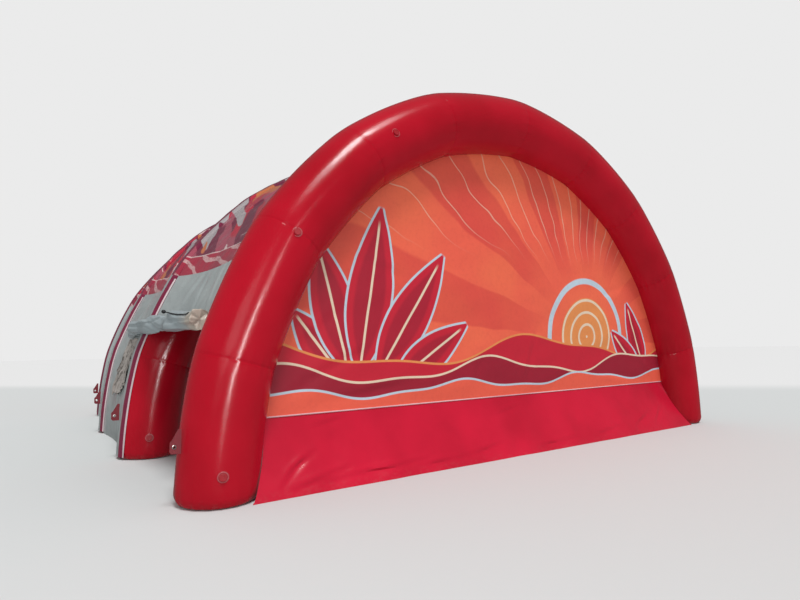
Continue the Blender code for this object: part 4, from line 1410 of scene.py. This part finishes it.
@dataclass
class DoorFlap:
    """The rolled door flap, its loose end over the second bay, and the tie that holds the roll."""

    voxel: float = 0.011
    fold_depth: float = 0.016
    cord: float = 0.008
    cord_step: float = 0.006
    toggle: tuple[tuple[float, float], ...] = (
        (0.010, 0.000), (0.017, 0.003), (0.0225, 0.010), (0.0255, 0.020), (0.0245, 0.026), (0.0235, 0.030),
        (0.0245, 0.034), (0.0255, 0.040), (0.0225, 0.050), (0.017, 0.057), (0.010, 0.060))

    def roll(self) -> None:
        """Bunched roll: the solid's form, remeshed and pressed in along twisting folds."""
        source = placed("roll_form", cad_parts["door_roll"].data.copy())
        for kind, settings in (("WELD", {"merge_threshold": 0.0005}),
                               ("REMESH", {"mode": "VOXEL", "voxel_size": self.voxel}),
                               ("SMOOTH", {"factor": 0.5, "iterations": 10})):
            modifier = source.modifiers.new(kind, kind)
            for setting, value in settings.items():
                setattr(modifier, setting, value)
        mesh = evaluated(source)
        points, normals = vertices(mesh), vertices(mesh, "normal")
        run = points[:, 1]
        edges = np.linspace(run.min(), run.max(), 80)
        part = np.clip(np.digitize(run, edges), 1, len(edges) - 1)
        middle = np.array([points[part == k].mean(0) for k in range(1, len(edges)) if (part == k).any()])
        axis = np.stack([np.interp(run, middle[:, 1], middle[:, k]) for k in (0, 2)], -1)
        turn = np.arctan2(points[:, 2] - axis[:, 1], points[:, 0] - axis[:, 0])
        folds = (1.5 * swell(2.0 * turn + 4.2 * run + 1.6 * np.sin(2.3 * run)) ** 5
                 + 1.1 * swell(3.0 * turn - 3.4 * run + 1.3 * np.sin(3.3 * run)) ** 8
                 + 0.45 * swell(4.0 * turn + 8.0 * run + np.sin(5.0 * run)) ** 6
                 + 0.08 * ripple(41, 7, 22.0, points[:, 0], run, points[:, 2]) + 0.08)
        thin = np.clip((0.9 - run) / 1.6, 0.45, 1.0)
        moved = points - normals * (self.fold_depth * np.clip(folds, 0.0, 2.2) * thin)[:, None]
        mesh.vertices.foreach_set("co", moved.ravel())
        mesh.shade_smooth()
        mesh.update()
        dressed("door_flap_roll", mesh, Finish.FLAP, "door_roll")

    def roll_size(self, place: np.ndarray) -> tuple[np.ndarray, np.ndarray]:
        """Radius of the roll and height of its middle at places counted from the front arch."""
        past = np.clip((place - 3.5) / 1.9, 0.0, 1.2)
        thick = 1.0 + 0.10 * np.sin(5.1 * place) + 0.07 * np.sin(11.3 * place + 1.0)
        return 0.118 * thick * (1.0 - 0.55 * past), 1.92 + 0.04 * np.minimum(place / BAY_LENGTH, 1.0) - 0.05 * past

    def loose_end(self, canopy: Canopy) -> Surface:
        """Wrinkled end of the flap that hangs below the roll, over the side cloth of the second bay.

        Args:
            canopy: the cloths that it lies on.

        Returns:
            A closed cloth.
        """
        share, across = np.meshgrid(np.linspace(0.0, 1.0, 66), np.linspace(0.0, 1.0, 200), indexing="ij")
        drop = 1.0 - share
        near = 3.86 + 0.45 * drop ** 1.6
        far = 5.36 + 0.45 * drop * (1.0 - 0.45 * drop ** 5)
        place = near + (far - near) * across
        radius, height = self.roll_size(place)
        top = height - 1.12 * radius * 1.1 - 0.012
        low = 0.90 + 0.05 * np.sin(9.0 * across) + 0.25 * (0.5 - across)
        level = low + (top - low) * share
        y = FRONT_Y + place
        near_y, far_y = -BAY_LENGTH / 2 + TUBE_RADIUS * 0.53, BAY_LENGTH / 2 - TUBE_RADIUS * 0.53
        bay_share = np.clip((y - near_y) / (far_y - near_y), 0.0, 1.0)
        angles = np.linspace(2.0, 34.0, 120)
        table = canopy.surface(1, *np.meshgrid(angles, np.linspace(0.0, 1.0, 41), indexing="ij"))
        column = np.clip(bay_share * 40.0, 0.0, 39.999).astype(int)
        part = bay_share * 40.0 - column
        angle = np.empty_like(y)
        for at in np.ndindex(y.shape):
            line = table[:, column[at], 2] * (1.0 - part[at]) + table[:, column[at] + 1, 2] * part[at]
            angle[at] = np.interp(level[at], line, angles)
        slant = across + 0.42 * share + 0.045 * ripple(91, 6, 7.0, 1.5 * across, share)
        wave = swell(tau * 5.5 * slant + 0.5 * np.sin(5.0 * share + 9.0 * across))
        depth = 0.036 * (0.75 + 0.25 * np.sin(7.0 * across + 5.0 * share))
        fine = 0.008 * (0.5 + 0.5 * np.clip(ripple(77, 7, 34.0, y, level * 0.8), -1.0, 1.0))
        tucks = 0.026 * swell(tau * 14.0 * slant + 1.2 * np.sin(11.0 * share + 7.0 * across)) ** 2
        lift = depth * wave ** 1.2 + fine + tucks
        points = canopy.surface(1, angle, bay_share, canopy.side_relief(1, angle, bay_share) + CLOTH + 0.003 + lift)
        # The fold height goes first: the material paints shade where it is low.
        told = np.stack([lift / 0.05, share, across], -1)
        return Surface.grid(points, told).thickened(CLOTH, np.array([-1.0, 0.0, 0.2]))

    def tie_path(self) -> np.ndarray:
        """Centre line of the tie: the middles of the rings of its solid, made finer."""
        points = vertices(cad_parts["door_tie_cord"].data)
        points = points[np.argsort(points[:, 1])]
        cuts = np.nonzero(np.diff(points[:, 1]) > 0.012)[0] + 1
        rings = [part for part in np.split(points, cuts) if len(part) > 3]
        middles = np.array([np.unique(np.round(part, 5), axis=0).mean(0) for part in rings])
        return evened(middles, int(run_of(middles)[-1] / self.cord_step))

    def tie(self) -> None:
        """Twisted cord along the roll, with a toggle on its free end."""
        path = self.tie_path()
        turn = np.arange(24) * tau / 24
        run = np.arange(len(path))[:, None] * self.cord_step
        lobes = self.cord * (0.92 + 0.08 * np.abs(np.cos(1.5 * turn[None] - 60.0 * run)))
        cord = swept(path, lobes, 24).piece("tie_cord", Finish.CORD, "black_cord", "door_tie_cord", 80.0)
        low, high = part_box("door_tie_toggle")
        along = Vector(unit(np.gradient(path, axis=0))[-1])
        toggle = revolved(self.toggle, 28, aimed((low + high) / 2.0 - along * 0.03, along)).piece(
            "tie_toggle", Finish.TOGGLE, "black_toggle", "door_tie_toggle", 60.0)

    def build(self, canopy: Canopy) -> None:
        """Build the roll, its loose end and the tie."""
        self.roll()
        piece = self.loose_end(canopy).piece("door_flap_loose_end", Finish.FLAP_END, "door_flap_cloth",
                                             "door_flap_end", 60.0)
        self.tie()


@dataclass
class Anchors:
    """Webbing tabs near the ground, each with a metal eyelet, and the valve patches."""

    reach: float = 0.11
    height: float = 0.14
    root_rise: float = 0.11
    root_width: float = 0.03
    chamfer: float = 0.022
    thickness: float = 0.004
    eyelet: float = 0.014
    eyelet_reach: float = 0.066
    bevel: float = 0.0008
    ring: tuple[tuple[float, float], ...] = (
        (0.0142, -0.0036), (0.0205, -0.0036), (0.0225, -0.0026), (0.0225, 0.0026), (0.0205, 0.0036), (0.0142, 0.0036))
    valve_cap: tuple[tuple[float, float], ...] = (
        (0.022, 0.0195), (0.0365, 0.0195), (0.0385, 0.0215), (0.0385, 0.0265), (0.0365, 0.0285),
        (0.0270, 0.0285), (0.0250, 0.0255), (0.0120, 0.0250), (0.0100, 0.0275), (0.0030, 0.0280))
    valve_lip: tuple[tuple[float, float], ...] = (
        (0.0480, 0.0030), (0.0480, 0.0068), (0.0495, 0.0082), (0.0535, 0.0082), (0.0550, 0.0068), (0.0550, 0.0030))

    def outline(self) -> list[list[tuple[float, float]]]:
        """Outline of a tab with rounded corners, and its eyelet."""
        half = 0.5 * self.height
        corners = [(0.0, -half), (self.reach - self.chamfer, -half), (self.reach, self.chamfer - half),
                   (self.reach, half - self.chamfer), (self.reach - self.chamfer, half),
                   (self.root_width, half + self.root_rise), (0.0, half + self.root_rise)]
        turns = [tau * k / 32 for k in range(32)]
        hole = [(self.eyelet_reach + self.eyelet * cos(turn), self.eyelet * sin(turn)) for turn in turns]
        return [corners, hole]

    def strap(self, name: str, node: str) -> tuple[bpy.types.Object, Matrix]:
        """Tab with soft edges in the place of its solid.

        Args:
            name: name of the piece.
            node: the solid that it replaces.

        Returns:
            The tab, and the place of its eyelet, whose Z axis runs through the hole.
        """
        points = vertices(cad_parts[node].data)
        middle_y = 0.5 * (points[:, 1].min() + points[:, 1].max())
        side = np.sign(points[:, 0].mean())
        flat = points[:, [0, 2]] * [side, 1.0]
        up = self.root_direction(flat)
        out = np.array([up[1], -up[0]])
        bottom = flat[(flat @ up) < (flat @ up).min() + 0.001]
        origin = bottom[(bottom @ out).argmin()] + up * 0.5 * self.height
        curve = bpy.data.curves.new(name, "CURVE")
        for setting, value in {"dimensions": "2D", "fill_mode": "BOTH", "extrude": 0.5 * self.thickness - self.bevel,
                               "bevel_depth": self.bevel, "bevel_resolution": 2, "offset": -self.bevel}.items():
            setattr(curve, setting, value)
        for loop in self.outline():
            spline = curve.splines.new("POLY")
            spline.points.add(len(loop) - 1)
            for point, (reach, rise) in zip(spline.points, loop):
                point.co = (reach, rise, 0.0, 1.0)
            spline.use_cyclic_u = True
        x_axis, y_axis = (Vector((side * way[0], 0.0, way[1])) for way in (out, up))
        place = Matrix((x_axis, y_axis, x_axis.cross(y_axis))).transposed().to_4x4()
        place.translation = Vector((side * origin[0], middle_y, origin[1]))
        mesh = evaluated(placed(name + "_guide", curve))
        mesh.transform(place)
        tab = dressed(name, mesh, Finish.WEBBING, node)
        return tab, place @ Matrix.Translation((self.eyelet_reach, 0.0, 0.0))

    def root_direction(self, flat: np.ndarray) -> np.ndarray:
        """Direction of a tab's straight root in the plane across the tent."""
        order = flat[flat[:, 1].argsort()]
        low = order[:8][order[:8, 0].argmin()]
        high = order[-8:][order[-8:, 0].argmin()]
        return unit(high - low)

    def build(self) -> None:
        """Build the tabs with their eyelets, and dress the valve patches."""
        for wing in ("left", "right"):
            for number in range(1, 5):
                tab, eye = self.strap(f"tab_{wing}_{number}", f"anchor_tab_{wing}_{number}")
                metal = hoop(self.ring, 32, eye).piece(f"eyelet_{wing}_{number}", Finish.METAL, "tab_webbing")
        for number in range(1, 5):
            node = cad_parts[f"valve_patch_{number}"]
            node.data.materials.clear()
            node.data.materials.append(Finish.VALVE.material())
            self.cap(number, node)

    def cap(self, number: int, node: bpy.types.Object) -> None:
        """Screw cap with a grip rim, and a pale ring round it, on a valve patch."""
        points = vertices(node.data)
        centre = points.mean(0)
        _, _, axes = np.linalg.svd(points - centre)
        out = axes[2] * (1.0 if axes[2][1] < 0.0 else -1.0)
        rise = (points - centre) @ out
        place = aimed(Vector(centre) + Vector(out) * float(rise.min()), Vector(out))
        revolved(self.valve_cap, 32, place).piece(f"valve_cap_{number}", Finish.VALVE, "valve_plastic")
        hoop(self.valve_lip, 40, place).piece(f"valve_ring_{number}", Finish.CAP, "valve_plastic")


@dataclass(frozen=True)
class Lamp:
    """Long lamp between two points, with the point that it faces, and the kind of ray that doesn't see it."""

    name: str
    low: tuple[float, float, float]
    high: tuple[float, float, float]
    aim: tuple[float, float, float]
    width: float
    power: float
    unseen: str = ""

    def build(self) -> None:
        """Put the lamp into the scene."""
        low, high = Vector(self.low), Vector(self.high)
        data = bpy.data.lights.new(self.name, "AREA")
        data.shape = "RECTANGLE"
        data.size, data.size_y = self.width, (high - low).length
        data.energy = self.power
        middle, upward = (low + high) / 2.0, (high - low).normalized()
        back = middle - Vector(self.aim)
        back = (back - upward * back.dot(upward)).normalized()
        axes = Matrix((upward.cross(back), upward, back)).transposed().to_4x4()
        lamp = placed(self.name, data)
        lamp.matrix_world = Matrix.Translation(middle) @ axes
        if self.unseen:
            setattr(lamp, self.unseen, False)


@dataclass
class Studio:
    """Floor, soft light and camera."""

    eye: Vector = field(default_factory=lambda: Vector((-6.2592, -10.9244, 1.6)))
    yaw: float = 0.6004
    pitch: float = 0.0492
    roll: float = -0.0188
    lens: float = 24.5255
    shift: float = 0.02524
    floor_reach: float = 150.0
    near_tone: Colour = (0.608, 0.624, 0.623)
    far_tone: Colour = (0.74, 0.74, 0.74)
    sky: float = 0.55
    mirrored_sky: float = 0.12
    backdrop: float = 0.83
    sun: float = 2.0
    sun_angle: float = 16.0
    sun_way: tuple[float, float, float] = (-0.04, -0.47, 1.10)
    lamps: tuple[Lamp, ...] = (
        Lamp("low_strip", (-7.58, -16.9, 1.23), (-4.98, -16.9, 5.38), (-4.3, -5.0, 2.0), 0.8, 585.0, "visible_diffuse"),
        Lamp("high_strip", (-4.252, -16.9, 6.542), (-2.9, -16.9, 8.7), (-4.3, -5.0, 2.0), 0.8, 51.48,
             "visible_diffuse"),
        Lamp("side_softbox", (-11.0, -14.5, 3.5), (-11.0, -13.0, 8.5), (-2.0, -3.0, 1.5), 5.0, 150.0),
        Lamp("inner_glow", (-1.2, -3.4, 0.6), (-1.2, -3.4, 2.6), (-4.2, -2.6, 1.4), 2.0, 9.0, "visible_glossy"))

    def camera(self) -> None:
        """Camera at the photograph's angle."""
        forward = Vector((sin(self.yaw) * cos(self.pitch), cos(self.yaw) * cos(self.pitch), sin(self.pitch)))
        right = Vector((cos(self.yaw), -sin(self.yaw), 0.0))
        up = right.cross(forward)
        across = right * cos(self.roll) + up * sin(self.roll)
        upward = up * cos(self.roll) - right * sin(self.roll)
        data = bpy.data.cameras.new("camera")
        data.lens = self.lens
        data.sensor_width = 36.0
        data.sensor_fit = "HORIZONTAL"
        data.shift_y = self.shift
        data.clip_end = 400.0
        camera = placed("camera", data)
        camera.matrix_world = Matrix.Translation(self.eye) @ Matrix((across, upward, -forward)).transposed().to_4x4()
        bpy.context.scene.camera = camera

    def floor(self) -> None:
        """Wide pale floor that is a little darker near the tent."""
        far = self.floor_reach
        mesh = bpy.data.meshes.new("floor")
        mesh.from_pydata([(-far, -far, 0.0), (far, -far, 0.0), (far, far, 0.0), (-far, far, 0.0)], [], [(0, 1, 2, 3)])
        paint = Paint("floor")
        vector, x, y, _ = paint.place()
        beyond = x * 0.7523 + y * 0.6588 - 9.3467
        grain = paint.noise(vector, 6.0, 3.0)
        tone = paint.layers(self.near_tone, (beyond.step(-1.8, 1.8), self.far_tone), (grain * 0.03, (0.5, 0.5, 0.5)))
        mesh.materials.append(paint.finish({"Base Color": tone}, {"Roughness": 0.9, "Specular IOR Level": 0.1}))
        floor = placed("floor", mesh)
        floor.visible_glossy = False

    def world(self) -> None:
        """Soft sky that is dimmer in mirrors and brighter as the backdrop."""
        world = bpy.data.worlds.new("sky")
        world.use_nodes = True
        tree = world.node_tree
        paths = tree.nodes.new("ShaderNodeLightPath")
        shown = None
        for strength, ray in ((self.sky, ""), (self.mirrored_sky, "Is Glossy Ray"), (self.backdrop, "Is Camera Ray")):
            light = tree.nodes.new("ShaderNodeBackground") if ray else tree.nodes["Background"]
            light.inputs["Color"].default_value = (1.0, 1.0, 1.0, 1.0)
            light.inputs["Strength"].default_value = strength
            if ray:
                mixed = tree.nodes.new("ShaderNodeMixShader")
                for number, output in enumerate((paths.outputs[ray], shown, light.outputs[0])):
                    tree.links.new(output, mixed.inputs[number])
            shown = (mixed if ray else light).outputs[0]
        tree.links.new(shown, tree.nodes["World Output"].inputs[0])
        bpy.context.scene.world = world

    def lights(self) -> None:
        """One high lamp, two slanting strips for the long highlights, a side lamp and a glow inside."""
        sun = bpy.data.lights.new("high_lamp", "SUN")
        sun.energy = self.sun
        sun.angle = radians(self.sun_angle)
        placed("high_lamp", sun).matrix_world = aimed(Vector(), Vector(self.sun_way))
        for lamp in self.lamps:
            lamp.build()
        bpy.context.scene.view_settings.view_transform = "Standard"

    def build(self) -> None:
        """Set up the camera, floor and lights."""
        self.camera()
        self.floor()
        self.world()
        self.lights()


def main() -> None:
    """Build every piece of the tent and the studio."""
    logging.basicConfig(level=logging.INFO, format="%(message)s")
    canopy = Canopy()
    AirTubes().build()
    canopy.build()
    CoverBands().build()
    EndWalls().build()
    DoorFlap().build(canopy)
    Anchors().build()
    Studio().build()


if __name__ == "__main__":
    main()
